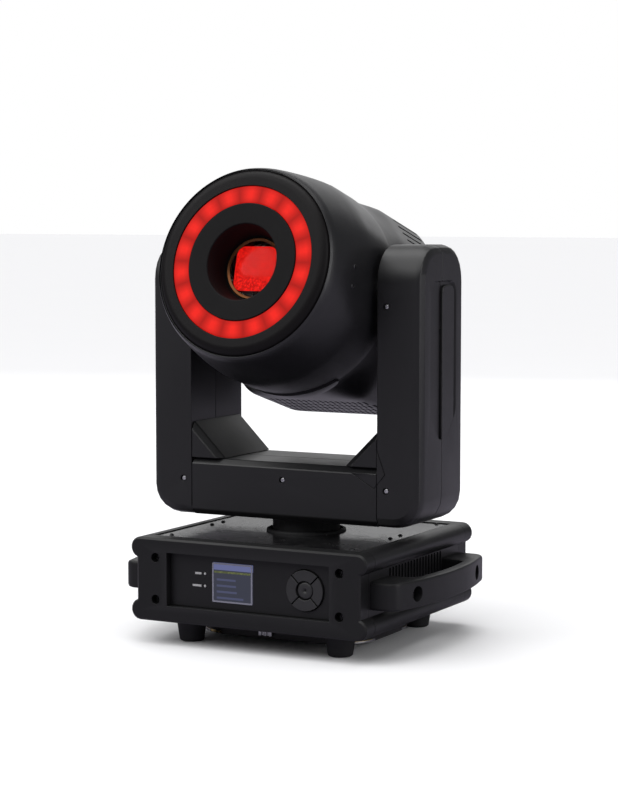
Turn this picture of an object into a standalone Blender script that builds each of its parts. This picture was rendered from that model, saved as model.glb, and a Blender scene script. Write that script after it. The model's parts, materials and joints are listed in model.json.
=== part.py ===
"""Moving head stage light: a base, a yoke that pans on it and a head that tilts in the yoke.

Lengths are in metres, +Z is up and -Y is the front. The origin is the point where the pan axis
meets the flat underside of the base's mounting tray.
"""

import math

import bmesh
import bpy
from mathutils import Matrix

GAP = 0.0003
SHELL = 0.003
SHEET = 0.002
PASS = 0.02
ROUND_STEPS = 32
SMALL_STEPS = 16

# Base housing. Heights are measured from the tray's underside.
BASE_HALF_WIDTH = 0.1305
BASE_HALF_DEPTH = 0.130
BASE_SHIFT = -0.0025
BASE_BOTTOM = 0.019
BASE_HEIGHT = 0.0875
RAIL_RADIUS = 0.011
RAIL_REACH = 0.0075
END_FRAME_DEPTH = 0.020
FRAME_BEVEL = 0.002
SIDE_THICKNESS = 0.010
TOP_PLATE_THICKNESS = 0.0025
TOP_PLATE_DROP = 0.001
LOUVRE_COUNT = 18
LOUVRE_PITCH = 0.0072
LOUVRE_WIDTH = 0.0035
LOUVRE_HEIGHT = 0.030
LOUVRE_CENTRE = 0.069
FRAME_SCREW_X = 0.1076
FRAME_SCREW_RISE = 0.022
FRAME_SCREW_HOLE = 0.005
FRAME_SCREW_DEPTH = 0.009

# Control panel, in the front frame's window.
WINDOW_HALF_WIDTH = 0.095
WINDOW_SHIFT = 0.001
WINDOW_HALF_HEIGHT = 0.028
WINDOW_CENTRE = 0.064
PANEL_RECESS = 0.008
DISPLAY_SIZE = (0.0473, 0.041)
DISPLAY_CENTRE = (-0.0195, 0.0645)
DISPLAY_THICKNESS = 0.002
DISPLAY_PROUD = 0.0005
PAD_CENTRE = (0.0653, 0.0643)
PAD_RADIUS = 0.021
PAD_SLOT = 0.0012
PAD_PROUD = 0.0025
PAD_THICKNESS = 0.0065
ENTER_RADIUS = 0.009
BUTTON_TRAVEL = 0.001

# Rear panel and sockets.
REAR_RECESS = 0.005
SOCKET_HEIGHT = 0.064
POWER_SOCKET_X = (-0.066, -0.026)
DATA_SOCKET_X = (0.028, 0.064)
POWER_SOCKET_SIZE = 0.028
DATA_SOCKET_RADIUS = 0.0135
SOCKET_LENGTH = 0.016
SOCKET_WALL = 0.004
SOCKET_HOLLOW = 0.010

# Tray, quick locks, feet and safety eye under the base.
TRAY_HALF_WIDTH = 0.098
TRAY_HALF_DEPTH = 0.073
TRAY_CORNER = 0.038
TRAY_FLOOR = 0.005
LOCK_THICKNESS = 0.0022
LOCK_PROUD = 0.0007
LOCK_EAR = 0.012
LOCK_STRIP = 0.022
FOOT_X = 0.088
FOOT_Y = 0.0914
FOOT_TOP_RADIUS = 0.0165
FOOT_BOTTOM_RADIUS = 0.013
FOOT_DROP = 0.006
FOOT_BEVEL = 0.0015
EYE_CENTRE = -0.0076
EYE_WIDTH = 0.0156
EYE_HEIGHT = 0.005
EYE_LOW = 0.003

# Handles on both sides.
HANDLE_HALF_LENGTH = 0.110
HANDLE_STANDOFF = 0.0275
HANDLE_BOW = 0.016
HANDLE_LOW = 0.047
HANDLE_HEIGHT = 0.029
HANDLE_CORNER = 0.012
HANDLE_BAND = 0.013
HANDLE_FOOT_LENGTH = 0.048
HANDLE_BEVEL = 0.0035
HANDLE_SCREW_Y = 0.074
HANDLE_SCREW_RADIUS = 0.008
HANDLE_SCREW_DEPTH = 0.009

# Pan column, bearing and drive.
COLUMN_RADIUS = 0.036
COLUMN_CLEARANCE = 0.004
COLUMN_LENGTH = 0.0235
HUB_RADIUS = 0.022
HUB_BORE = 0.014
HUB_LOW = 0.036
PAN_GEAR_RIM = 0.026
PAN_GEAR_LOW = 0.070
PAN_GEAR_WIDTH = 0.008
PAN_PINION_RADIUS = 0.0093
PAN_GEAR_MESH = 0.0003
BEARING_WALL = 0.012
BEARING_WIDTH = 0.014
BEARING_LOW = 0.042
MOTOR_SIZE = 0.042
PAN_MOTOR_LENGTH = 0.036
SUPPLY_SIZE = (0.058, 0.180, 0.040)

# Yoke.
YOKE_BOTTOM = 0.122
ARM_WIDTH = 0.0494
YOKE_HALF_DEPTH = 0.0542
HEAD_CLEARANCE = 0.0062
CROSSBAR_HEIGHT = 0.061
ARM_ABOVE_AXIS = 0.0545
ARM_TOP_RADIUS = 0.038
ARM_BOTTOM_RADIUS = 0.030
ARM_CHAMFER = 0.010
ARM_SEAM = -0.003
CROSSBAR_CHAMFER = 0.006
GUSSET_INNER = 0.0713
FRAME_PLATE = 0.003
FRAME_FROM_WALL = 0.0008
FRAME_HALF_DEPTH = 0.040
FRAME_UNDER_TOP = 0.021
FRAME_LIFT = 0.0065

# Tilt axles and drive.
TILT_HEIGHT = 0.3565
HEAD_TILT = math.radians(15.5)
AXLE_RADIUS = 0.014
AXLE_COLLAR_RADIUS = 0.019
AXLE_END_RADIUS = 0.016
AXLE_CLEARANCE = 0.001
TILT_PULLEY_RADIUS = 0.036
TILT_PINION_RADIUS = 0.008
TILT_PULLEY_WIDTH = 0.009
TILT_PULLEY_FROM_FRAME = 0.023
TILT_MOTOR_DROP = 0.1015
TILT_MOTOR_LENGTH = 0.0215
BELT_THICKNESS = 0.0015

# Head. Its own frame has the tilt axis along X, -Y out of the lens and +Z up.
BARREL_FRONT = 0.1385
BARREL_RADIUS = 0.1125
BARREL_FLAT_INSET = 0.0085
BARREL_TOP_INSET = 0.008
BARREL_STEPS = 48
BARREL_NOSE = ((0.0122, 0.003), (0.0078, 0.0205), (0.0014, 0.0545), (0, 0.0685))
BARREL_LIP_INSET = 0.0159
BEZEL_FRONT = 0.1445
BEZEL_EDGE = 0.0051
BEZEL_WIDTH = 0.0179
RING_WIDTH = 0.0178
RING_FRONT = 0.1435
CARRIER_FRONT = 0.133
CARRIER_INSET = 0.0145
CARRIER_THICKNESS = 0.003
WELL_RADIUS = 0.0395
WELL_SEAT = 0.0335
WELL_BACK = 0.104
LENS_RADIUS = 0.0297
LENS_SEAT = 0.1135
LENS_BULGE = 0.004
HOUSING_SIDE = 0.098
HOUSING_BACK = 0.128
HOUSING_TOP = 0.104
HOUSING_TOP_FLAT = 0.060
HOUSING_TOP_SIDE = 0.060
HOUSING_BOTTOM = 0.105
HOUSING_BOTTOM_FLAT = 0.070
HOUSING_BOTTOM_SIDE = 0.058
HOUSING_BEVEL = 0.005
FAN_OPENING = 0.037
CHASSIS_HALF_WIDTH = 0.089
CHASSIS_HALF_HEIGHT = 0.060
CHASSIS_FRONT = 0.075
CHASSIS_BACK = 0.080
CHASSIS_SHEET = 0.0025
ENGINE_FRONT = 0.035
ENGINE_LENGTH = 0.045
ENGINE_FINS = 9
ENGINE_FIN = 0.003
ENGINE_PITCH = 0.011
ENGINE_HEIGHT = 0.100
ENGINE_BASE = 0.008
WHEEL_RADIUS = 0.050
WHEEL_THICKNESS = 0.0015
WHEEL_HOLES = 7
WHEEL_OFFSET = 0.027
COLOUR_HOLE = 0.0105
GOBO_HOLE = 0.0095
COLOUR_WHEEL_Y = 0.0150
GOBO_WHEEL_Y = 0.0050
CARRIAGE_RADIUS = 0.028
CARRIAGE_THICKNESS = 0.010
CARRIAGE_Y = -0.055
FAN_RADIUS = 0.034
FAN_HUB = 0.014
FAN_BLADES = 7
FAN_BLADE = 0.004
FAN_LENGTH = 0.012
FAN_FROM_BACK = 0.0045

# Sizes that follow from the ones above.
BASE_FRONT = BASE_SHIFT - BASE_HALF_DEPTH
BASE_REAR = BASE_SHIFT + BASE_HALF_DEPTH
BASE_TOP = BASE_BOTTOM + BASE_HEIGHT
RAIL_X = BASE_HALF_WIDTH + RAIL_REACH - RAIL_RADIUS
SIDE_INNER = BASE_HALF_WIDTH - SIDE_THICKNESS
INNER_FRONT = BASE_FRONT + END_FRAME_DEPTH + GAP
INNER_REAR = BASE_REAR - END_FRAME_DEPTH - GAP
PLATE_TOP = BASE_TOP - TOP_PLATE_DROP
PLATE_UNDER = PLATE_TOP - TOP_PLATE_THICKNESS
PANEL_FACE = BASE_FRONT + PANEL_RECESS
CHASSIS_FLOOR = BASE_BOTTOM + SHEET
CROSSBAR_TOP = YOKE_BOTTOM + CROSSBAR_HEIGHT
ARM_TOP = TILT_HEIGHT + ARM_ABOVE_AXIS
BARREL_FLAT = BARREL_RADIUS - BARREL_FLAT_INSET
BARREL_TOP = BARREL_RADIUS - BARREL_TOP_INSET
YOKE_INNER = BARREL_FLAT + HEAD_CLEARANCE
YOKE_HALF_WIDTH = YOKE_INNER + ARM_WIDTH
FRAME_INNER = YOKE_INNER + SHELL + FRAME_FROM_WALL
FRAME_OUTER = FRAME_INNER + FRAME_PLATE
FRAME_LOW = YOKE_BOTTOM + FRAME_LIFT
TILT_PULLEY_X = FRAME_OUTER + TILT_PULLEY_FROM_FRAME
TILT_PINION_Z = TILT_HEIGHT - TILT_MOTOR_DROP
BARREL_BACK = AXLE_COLLAR_RADIUS + AXLE_CLEARANCE
BARREL_LIP = BARREL_RADIUS - BARREL_LIP_INSET
RING_OUTER = BARREL_LIP - BEZEL_WIDTH
RING_INNER = RING_OUTER - RING_WIDTH
CARRIER_RADIUS = BARREL_RADIUS - CARRIER_INSET
BEZEL_FACE_RADIUS = BARREL_LIP - BEZEL_EDGE
BEARING_RADIUS = HUB_RADIUS + BEARING_WALL
PAN_GEAR_RADIUS = HUB_RADIUS + PAN_GEAR_RIM
PAN_PINION_Y = PAN_GEAR_RADIUS + PAN_PINION_RADIUS + PAN_GEAR_MESH

BLACK = (0.012, 0.012, 0.013)


def clear_scene():
    for item in list(bpy.data.objects):
        bpy.data.objects.remove(item, do_unlink=True)


def finish(name, colour, roughness, metallic):
    """A material with one Principled shader."""
    made = bpy.data.materials.new(name)
    made.use_nodes = True
    shader = made.node_tree.nodes["Principled BSDF"]
    shader.inputs["Base Color"].default_value = (*colour, 1)
    shader.inputs["Roughness"].default_value = roughness
    shader.inputs["Metallic"].default_value = metallic
    return made


def pivot(name, place, parent=None, turn=0.0):
    """An empty on a joint's axis, turned about X."""
    empty = bpy.data.objects.new(name, None)
    bpy.context.scene.collection.objects.link(empty)
    empty.parent = parent
    empty.location = place
    empty.rotation_euler = (turn, 0, 0)
    return empty


def to_object(name, shape):
    """Makes an object of a closed bmesh, with its faces turned outward."""
    bmesh.ops.remove_doubles(shape, verts=shape.verts[:], dist=1e-6)
    bmesh.ops.recalc_face_normals(shape, faces=shape.faces[:])
    mesh = bpy.data.meshes.new(name)
    shape.to_mesh(mesh)
    shape.free()
    made = bpy.data.objects.new(name, mesh)
    bpy.context.scene.collection.objects.link(made)
    return made


def piece(name, shape, material, parent=None, place=(0, 0, 0)):
    """One named part of the light."""
    made = to_object(name, shape)
    made.parent = parent
    made.location = place
    made.data.materials.append(material)
    made.data.shade_smooth()
    made.data.set_sharp_from_angle(angle=math.radians(35))
    return made


def cut(target, shape):
    """Takes a closed shape, given in the target's own frame, out of the target."""
    cutter = to_object(target.name + "_cutter", shape)
    cutter.parent = target.parent
    cutter.location = target.location
    cutter.hide_render = True
    cutter.display_type = "WIRE"
    modifier = target.modifiers.new("Cut", "BOOLEAN")
    modifier.operation = "DIFFERENCE"
    modifier.solver = "EXACT"
    modifier.object = cutter


def box(low, high):
    shape = bmesh.new()
    bmesh.ops.create_cube(shape, size=1)
    size = [b - a for a, b in zip(low, high)]
    middle = [(a + b) / 2 for a, b in zip(low, high)]
    bmesh.ops.scale(shape, vec=size, verts=shape.verts[:])
    bmesh.ops.translate(shape, vec=middle, verts=shape.verts[:])
    return shape


def arc(centre, radius, start, end, steps):
    """Points on an arc, from one angle to another in degrees."""
    angles = [math.radians(start + (end - start) * i / steps) for i in range(steps + 1)]
    return [(centre[0] + radius * math.cos(a), centre[1] + radius * math.sin(a)) for a in angles]


def in_plane(plane, point, depth):
    """Puts a 2-D point of the plane XY, XZ or YZ at a depth along the third axis."""
    places = {"XY": (0, 1, 2), "XZ": (0, 2, 1), "YZ": (1, 2, 0)}[plane]
    result = [0, 0, 0]
    for axis, value in zip(places, (point[0], point[1], depth)):
        result[axis] = value
    return result


def prism(outline, plane, low, high):
    """Extrudes a closed outline along the axis across its plane."""
    shape = bmesh.new()
    corners = [shape.verts.new(in_plane(plane, point, low)) for point in outline]
    face = shape.faces.new(corners)
    extruded = bmesh.ops.extrude_face_region(shape, geom=[face])
    moved = [item for item in extruded["geom"] if isinstance(item, bmesh.types.BMVert)]
    bmesh.ops.translate(shape, vec=in_plane(plane, (0, 0), high - low), verts=moved)
    bmesh.ops.recalc_face_normals(shape, faces=shape.faces[:])
    return shape


def turned(profile, axis, steps=ROUND_STEPS):
    """Turns a closed profile of (radius, place along the axis) about the axis X, Y or Z."""
    along = "XYZ".index(axis)
    across = (along + 1) % 3
    shape = bmesh.new()
    ring = []
    for radius, place in profile:
        point = [0, 0, 0]
        point[along] = place
        point[across] = radius
        ring.append(shape.verts.new(point))
    edges = [shape.edges.new((ring[i - 1], ring[i])) for i in range(len(ring))]
    direction = [0, 0, 0]
    direction[along] = 1
    bmesh.ops.spin(
        shape, geom=ring + edges, cent=(0, 0, 0), axis=direction, angle=2 * math.pi, steps=steps
    )
    bmesh.ops.remove_doubles(shape, verts=shape.verts[:], dist=1e-6)
    on_axis = [edge for edge in shape.edges if not edge.link_faces]
    bmesh.ops.delete(shape, geom=on_axis, context="EDGES")
    bmesh.ops.recalc_face_normals(shape, faces=shape.faces[:])
    return shape


def cylinder(radius, axis, low, high, place=(0, 0, 0), steps=SMALL_STEPS):
    shape = turned([(0, low), (radius, low), (radius, high), (0, high)], axis, steps)
    bmesh.ops.translate(shape, vec=place, verts=shape.verts[:])
    return shape


def joined(shapes):
    """Several closed shapes in one bmesh, for a cutter."""
    whole = bmesh.new()
    for shape in shapes:
        mesh = bpy.data.meshes.new("part")
        shape.to_mesh(mesh)
        shape.free()
        whole.from_mesh(mesh)
        bpy.data.meshes.remove(mesh)
    return whole


def mirror_x(shape, side):
    bmesh.ops.scale(shape, vec=(side, 1, 1), verts=shape.verts[:])
    bmesh.ops.recalc_face_normals(shape, faces=shape.faces[:])
    return shape


def mirror_y(shape, side):
    bmesh.ops.scale(shape, vec=(1, side, 1), verts=shape.verts[:])
    bmesh.ops.recalc_face_normals(shape, faces=shape.faces[:])
    return shape


def bevel_where(shape, chosen, offset, segments):
    """Bevels the edges that the test chooses."""
    shape.normal_update()
    edges = [edge for edge in shape.edges if chosen(edge)]
    bmesh.ops.bevel(
        shape, geom=edges, offset=offset, offset_type="OFFSET", segments=segments, profile=0.5,
        affect="EDGES", material=-1, clamp_overlap=True,
    )
    return shape


def lies_on(edge, axis, place):
    return all(abs(vert.co[axis] - place) < 1e-6 for vert in edge.verts)


def rounded_rectangle(half_width, half_depth, radius, steps=6):
    points = []
    for turn, (sx, sy) in enumerate(((1, 1), (-1, 1), (-1, -1), (1, -1))):
        centre = (sx * (half_width - radius), sy * (half_depth - radius))
        points += arc(centre, radius, 90 * turn, 90 * turn + 90, steps)
    return points


def flank():
    """The base's right flank from bottom to top: two rounded rails with a flat waist between."""
    meet = math.degrees(math.acos((BASE_HALF_WIDTH - RAIL_X) / RAIL_RADIUS))
    low = arc((RAIL_X, BASE_BOTTOM + RAIL_RADIUS), RAIL_RADIUS, -90, meet, 8)
    high = arc((RAIL_X, BASE_TOP - RAIL_RADIUS), RAIL_RADIUS, -meet, 90, 8)
    return low + high


def end_outline():
    right = flank()
    left = [(-x, z) for x, z in reversed(right)]
    return right + left


def window(grow):
    """The control panel's opening as (low x, high x, low z, high z)."""
    return (
        WINDOW_SHIFT - WINDOW_HALF_WIDTH - grow,
        WINDOW_SHIFT + WINDOW_HALF_WIDTH + grow,
        WINDOW_CENTRE - WINDOW_HALF_HEIGHT - grow,
        WINDOW_CENTRE + WINDOW_HALF_HEIGHT + grow,
    )


def frame_screw_holes(outer_y, inner_y):
    holes = []
    for x in (-FRAME_SCREW_X, FRAME_SCREW_X):
        for z in (WINDOW_CENTRE - FRAME_SCREW_RISE, WINDOW_CENTRE + FRAME_SCREW_RISE):
            low, high = sorted((outer_y, inner_y))
            holes.append(cylinder(FRAME_SCREW_HOLE, "Y", low, high, (x, 0, z)))
    return holes


def build_front_frame(material):
    shape = prism(end_outline(), "XZ", BASE_FRONT, BASE_FRONT + END_FRAME_DEPTH)
    bevel_where(shape, lambda edge: lies_on(edge, 1, BASE_FRONT), FRAME_BEVEL, 1)
    frame = piece("front_frame", shape, material)
    x0, x1, z0, z1 = window(0)
    opening = box((x0, BASE_FRONT - PASS, z0), (x1, BASE_FRONT + END_FRAME_DEPTH + PASS, z1))
    holes = frame_screw_holes(BASE_FRONT - PASS, BASE_FRONT + FRAME_SCREW_DEPTH)
    cut(frame, joined([opening, *holes]))


def socket_holes():
    through = (BASE_REAR - END_FRAME_DEPTH - PASS, BASE_REAR - REAR_RECESS + 0.001)
    half = POWER_SOCKET_SIZE / 2 + GAP
    holes = []
    for x in POWER_SOCKET_X:
        low = (x - half, through[0], SOCKET_HEIGHT - half)
        holes.append(box(low, (x + half, through[1], SOCKET_HEIGHT + half)))
    for x in DATA_SOCKET_X:
        radius = DATA_SOCKET_RADIUS + GAP
        holes.append(cylinder(radius, "Y", *through, (x, 0, SOCKET_HEIGHT)))
    return holes


def build_rear_frame(material):
    front = BASE_REAR - END_FRAME_DEPTH
    shape = prism(end_outline(), "XZ", front, BASE_REAR)
    bevel_where(shape, lambda edge: lies_on(edge, 1, BASE_REAR), FRAME_BEVEL, 1)
    frame = piece("rear_frame", shape, material)
    x0, x1, z0, z1 = window(0)
    cut(frame, box((x0, BASE_REAR - REAR_RECESS, z0), (x1, BASE_REAR + PASS, z1)))
    cut(frame, joined(socket_holes()))
    cut(frame, joined(frame_screw_holes(BASE_REAR + PASS, BASE_REAR - FRAME_SCREW_DEPTH)))


def build_sockets(power, data):
    back = BASE_REAR - REAR_RECESS + 0.0008
    half = POWER_SOCKET_SIZE / 2
    for name, x in zip(("power_inlet", "power_outlet"), POWER_SOCKET_X):
        shape = box((-half, -SOCKET_LENGTH, -half), (half, 0, half))
        made = piece(name, shape, power, place=(x, back, SOCKET_HEIGHT))
        cut(made, cylinder(half - SOCKET_WALL, "Y", -SOCKET_HOLLOW, PASS))
    for name, x in zip(("data_inlet", "data_outlet"), DATA_SOCKET_X):
        shape = cylinder(DATA_SOCKET_RADIUS, "Y", -SOCKET_LENGTH, 0, steps=SMALL_STEPS)
        made = piece(name, shape, data, place=(x, back, SOCKET_HEIGHT))
        cut(made, cylinder(DATA_SOCKET_RADIUS - SOCKET_WALL, "Y", -SOCKET_HOLLOW, PASS))


def build_side_panels(material):
    for name, side in (("side_panel_left", -1), ("side_panel_right", 1)):
        outline = flank() + [(SIDE_INNER, BASE_TOP), (SIDE_INNER, BASE_BOTTOM)]
        shape = mirror_x(prism(outline, "XZ", INNER_FRONT, INNER_REAR), side)
        panel = piece(name, shape, material)
        slots = []
        for i in range(LOUVRE_COUNT):
            y = BASE_SHIFT + (i - (LOUVRE_COUNT - 1) / 2) * LOUVRE_PITCH
            low = (SIDE_INNER - PASS, y - LOUVRE_WIDTH / 2, LOUVRE_CENTRE - LOUVRE_HEIGHT / 2)
            high = (BASE_HALF_WIDTH + PASS, y + LOUVRE_WIDTH / 2, LOUVRE_CENTRE + LOUVRE_HEIGHT / 2)
            slots.append(mirror_x(box(low, high), side))
        cut(panel, joined(slots))


def build_chassis(sheet, paint):
    half = SIDE_INNER - GAP
    low = (-half, INNER_FRONT, BASE_BOTTOM)
    high = (half, INNER_REAR, PLATE_UNDER - GAP)
    chassis = piece("base_chassis", box(low, high), sheet)
    inner_low = (-half + SHEET, INNER_FRONT + SHEET, CHASSIS_FLOOR)
    cut(chassis, box(inner_low, (half - SHEET, INNER_REAR - SHEET, BASE_TOP + PASS)))
    plate = box((-half, INNER_FRONT, PLATE_UNDER), (half, INNER_REAR, PLATE_TOP))
    top = piece("base_top_plate", plate, paint)
    hole = COLUMN_RADIUS + COLUMN_CLEARANCE
    cut(top, cylinder(hole, "Z", PLATE_UNDER - PASS, PLATE_TOP + PASS, steps=ROUND_STEPS))


def build_control_panel(plastic, glass, rubber):
    x0, x1, z0, z1 = window(-GAP)
    shape = box((x0, PANEL_FACE, z0), (x1, BASE_FRONT + END_FRAME_DEPTH, z1))
    panel = piece("control_panel", shape, plastic)
    half = [size / 2 for size in DISPLAY_SIZE]
    x, z = DISPLAY_CENTRE
    floor = PANEL_FACE + DISPLAY_THICKNESS - DISPLAY_PROUD + GAP
    low = (x - half[0] - GAP, PANEL_FACE - PASS, z - half[1] - GAP)
    pocket = box(low, (x + half[0] + GAP, floor, z + half[1] + GAP))
    pad_floor = PANEL_FACE + PAD_THICKNESS - PAD_PROUD + BUTTON_TRAVEL + 2 * GAP
    place = (PAD_CENTRE[0], 0, PAD_CENTRE[1])
    well = cylinder(PAD_RADIUS + 2 * GAP, "Y", PANEL_FACE - PASS, pad_floor, place, ROUND_STEPS)
    cut(panel, joined([pocket, well]))
    front = PANEL_FACE - DISPLAY_PROUD
    low = (x - half[0], front, z - half[1])
    high = (x + half[0], front + DISPLAY_THICKNESS, z + half[1])
    piece("display_window", box(low, high), glass)
    build_buttons(rubber)


def sector(inner, outer, slot, turn):
    """A quarter of a ring whose straight sides keep half a slot from the diagonals."""
    far = math.degrees(math.asin(slot / 2 / outer))
    near = math.degrees(math.asin(slot / 2 / inner))
    points = arc((0, 0), outer, turn - 45 + far, turn + 45 - far, 8)
    return points + arc((0, 0), inner, turn + 45 - near, turn - 45 + near, 6)


def build_buttons(rubber):
    front = PANEL_FACE - PAD_PROUD
    place = (PAD_CENTRE[0], front, PAD_CENTRE[1])
    names = ("button_right", "button_up", "button_left", "button_down")
    for turn, name in enumerate(names):
        outline = sector(ENTER_RADIUS + 3 * GAP, PAD_RADIUS, PAD_SLOT, 90 * turn)
        shape = prism(outline, "XZ", 0, PAD_THICKNESS)
        piece(name, shape, rubber, place=place)
    shape = cylinder(ENTER_RADIUS, "Y", 0, PAD_THICKNESS)
    piece("button_enter", shape, rubber, place=place)


def lock_outline(grow):
    """The quick lock plate on the right: a strip with an ear that follows each tray corner."""
    corner = (TRAY_HALF_WIDTH - TRAY_CORNER, TRAY_HALF_DEPTH - TRAY_CORNER)
    outer = TRAY_CORNER + LOCK_PROUD + grow
    inner = TRAY_CORNER - LOCK_EAR - grow
    front = arc((corner[0], -corner[1]), outer, -60, 4, 6)
    rear = arc((corner[0], corner[1]), outer, -4, 60, 6)
    rear_inner = arc((corner[0], corner[1]), inner, 60, 0, 4)
    front_inner = arc((corner[0], -corner[1]), inner, 0, -60, 4)
    notch = corner[0] + TRAY_CORNER - LOCK_EAR / 2 + grow
    edge = [(notch, front[-1][1]), (notch, rear[0][1])]
    strip = corner[0] + inner - LOCK_STRIP * 0.3 - grow
    back = [(strip, rear_inner[-1][1]), (strip, front_inner[0][1])]
    return front + edge + rear + rear_inner + back + front_inner


def build_underside(steel, zinc, rubber, bright):
    outline = rounded_rectangle(TRAY_HALF_WIDTH, TRAY_HALF_DEPTH, TRAY_CORNER)
    tray = piece("bottom_tray", prism(outline, "XY", 0, BASE_BOTTOM - GAP), steel)
    wall = SHELL
    inner = rounded_rectangle(TRAY_HALF_WIDTH - wall, TRAY_HALF_DEPTH - wall, TRAY_CORNER - wall)
    cut(tray, prism(inner, "XY", TRAY_FLOOR, BASE_BOTTOM + PASS))
    for name, side in (("quick_lock_left", -1), ("quick_lock_right", 1)):
        low = GAP
        pocket = prism(lock_outline(GAP), "XY", -PASS, low + LOCK_THICKNESS + GAP)
        cut(tray, mirror_x(pocket, side))
        plate = prism(lock_outline(0), "XY", low, low + LOCK_THICKNESS)
        piece(name, mirror_x(plate, side), zinc)
    build_feet(rubber)
    build_safety_eye(bright)


def build_feet(rubber):
    top = BASE_BOTTOM - GAP
    profile = [
        (0, top),
        (FOOT_TOP_RADIUS, top),
        (FOOT_BOTTOM_RADIUS, FOOT_BEVEL - FOOT_DROP),
        (FOOT_BOTTOM_RADIUS - FOOT_BEVEL, -FOOT_DROP),
        (0, -FOOT_DROP),
    ]
    for row, y in (("front", -FOOT_Y), ("rear", FOOT_Y)):
        for side, x in (("left", -FOOT_X), ("right", FOOT_X)):
            piece(f"foot_{row}_{side}", turned(profile, "Z", 20), rubber, place=(x, y, 0))


def build_safety_eye(bright):
    """A small ribbed steel block on the tray's front wall."""
    back = -TRAY_HALF_DEPTH - GAP
    rib = EYE_WIDTH / 5
    outline = [(EYE_CENTRE - EYE_WIDTH / 2, back), (EYE_CENTRE + EYE_WIDTH / 2, back)]
    depths = (0.0045, 0.0025)
    for i in range(5):
        right = EYE_CENTRE + EYE_WIDTH / 2 - i * rib
        depth = depths[i % 2]
        outline += [(right, back - depth), (right - rib, back - depth)]
    piece("safety_eye", prism(outline, "XY", EYE_LOW, EYE_LOW + EYE_HEIGHT), bright)


def handle_reach(y):
    """How far the handle's outer face stands from the middle of the base."""
    bow = HANDLE_BOW * (1 - (y / HANDLE_HALF_LENGTH) ** 2)
    return BASE_HALF_WIDTH + HANDLE_STANDOFF + bow


def build_handles(plastic):
    root = BASE_HALF_WIDTH + GAP
    end = HANDLE_HALF_LENGTH
    corner_y = end - HANDLE_CORNER
    corner_x = handle_reach(corner_y) - HANDLE_CORNER
    bow = [-corner_y + 2 * corner_y * i / 12 for i in range(1, 12)]
    inner_end = end - HANDLE_FOOT_LENGTH
    hollow = [inner_end - 0.006 - 2 * (inner_end - 0.006) * i / 8 for i in range(9)]
    outline = [(root, -end)]
    outline += arc((corner_x, -corner_y), HANDLE_CORNER, -90, 0, 4)
    outline += [(handle_reach(y), y) for y in bow]
    outline += arc((corner_x, corner_y), HANDLE_CORNER, 0, 90, 4)
    outline += [(root, end), (root, inner_end)]
    outline += [(handle_reach(inner_end) - HANDLE_BAND - 0.006, inner_end)]
    outline += [(handle_reach(y) - HANDLE_BAND, y) for y in hollow]
    outline += [(handle_reach(inner_end) - HANDLE_BAND - 0.006, -inner_end)]
    outline += [(root, -inner_end)]
    top = HANDLE_LOW + HANDLE_HEIGHT
    for name, side in (("handle_left", -1), ("handle_right", 1)):
        shape = prism(outline, "XY", HANDLE_LOW, top)

        def rim(edge):
            level = lies_on(edge, 2, HANDLE_LOW) or lies_on(edge, 2, top)
            return level and not lies_on(edge, 0, root)

        bevel_where(shape, rim, HANDLE_BEVEL, 2)
        handle = piece(name, mirror_x(shape, side), plastic)
        bores = []
        for y in (-HANDLE_SCREW_Y, HANDLE_SCREW_Y):
            reach = handle_reach(y)
            place = (0, y, HANDLE_LOW + HANDLE_HEIGHT / 2)
            low, high = reach - HANDLE_SCREW_DEPTH, reach + PASS
            bore = cylinder(HANDLE_SCREW_RADIUS, "X", low, high, place, 20)
            bores.append(mirror_x(bore, side))
        cut(handle, joined(bores))


def build_pan_drive(steel, dark, supply, parent):
    top = YOKE_BOTTOM - 2 * GAP
    low = top - COLUMN_LENGTH
    gear = PAN_GEAR_LOW + PAN_GEAR_WIDTH
    profile = [
        (HUB_BORE, HUB_LOW), (HUB_RADIUS, HUB_LOW), (HUB_RADIUS, PAN_GEAR_LOW),
        (PAN_GEAR_RADIUS, PAN_GEAR_LOW), (PAN_GEAR_RADIUS, gear), (HUB_RADIUS, gear),
        (HUB_RADIUS, low), (COLUMN_RADIUS, low), (COLUMN_RADIUS, top), (HUB_RADIUS, top),
        (HUB_RADIUS, FRAME_LOW - GAP), (HUB_BORE, FRAME_LOW - GAP),
    ]
    piece("pan_shaft", turned(profile, "Z"), dark, parent)
    bore = HUB_RADIUS + 2 * GAP
    skirt = BEARING_RADIUS - 0.004
    profile = [
        (bore, BEARING_LOW), (bore, BEARING_LOW + BEARING_WIDTH),
        (BEARING_RADIUS, BEARING_LOW + BEARING_WIDTH), (BEARING_RADIUS, CHASSIS_FLOOR + GAP),
        (skirt, CHASSIS_FLOOR + GAP), (skirt, BEARING_LOW),
    ]
    piece("pan_bearing", turned(profile, "Z"), steel)
    half = MOTOR_SIZE / 2
    low = (-half, PAN_PINION_Y - half, CHASSIS_FLOOR + GAP)
    high = (half, PAN_PINION_Y + half, CHASSIS_FLOOR + GAP + PAN_MOTOR_LENGTH)
    piece("pan_motor", box(low, high), dark)
    shaft = PAN_PINION_RADIUS / 2
    shaft_low = high[2] + GAP
    profile = [
        (0, shaft_low), (shaft, shaft_low), (shaft, PAN_GEAR_LOW - 0.001),
        (PAN_PINION_RADIUS, PAN_GEAR_LOW - 0.001), (PAN_PINION_RADIUS, gear + 0.001),
        (0, gear + 0.001),
    ]
    piece("pan_pinion", turned(profile, "Z", SMALL_STEPS), steel, place=(0, PAN_PINION_Y, 0))
    width, depth, height = SUPPLY_SIZE
    x = -SIDE_INNER + SHEET + 2 * GAP
    low = (x, BASE_SHIFT - depth / 2, CHASSIS_FLOOR + GAP)
    high = (x + width, BASE_SHIFT + depth / 2, CHASSIS_FLOOR + GAP + height)
    piece("power_supply", box(low, high), supply)


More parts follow.
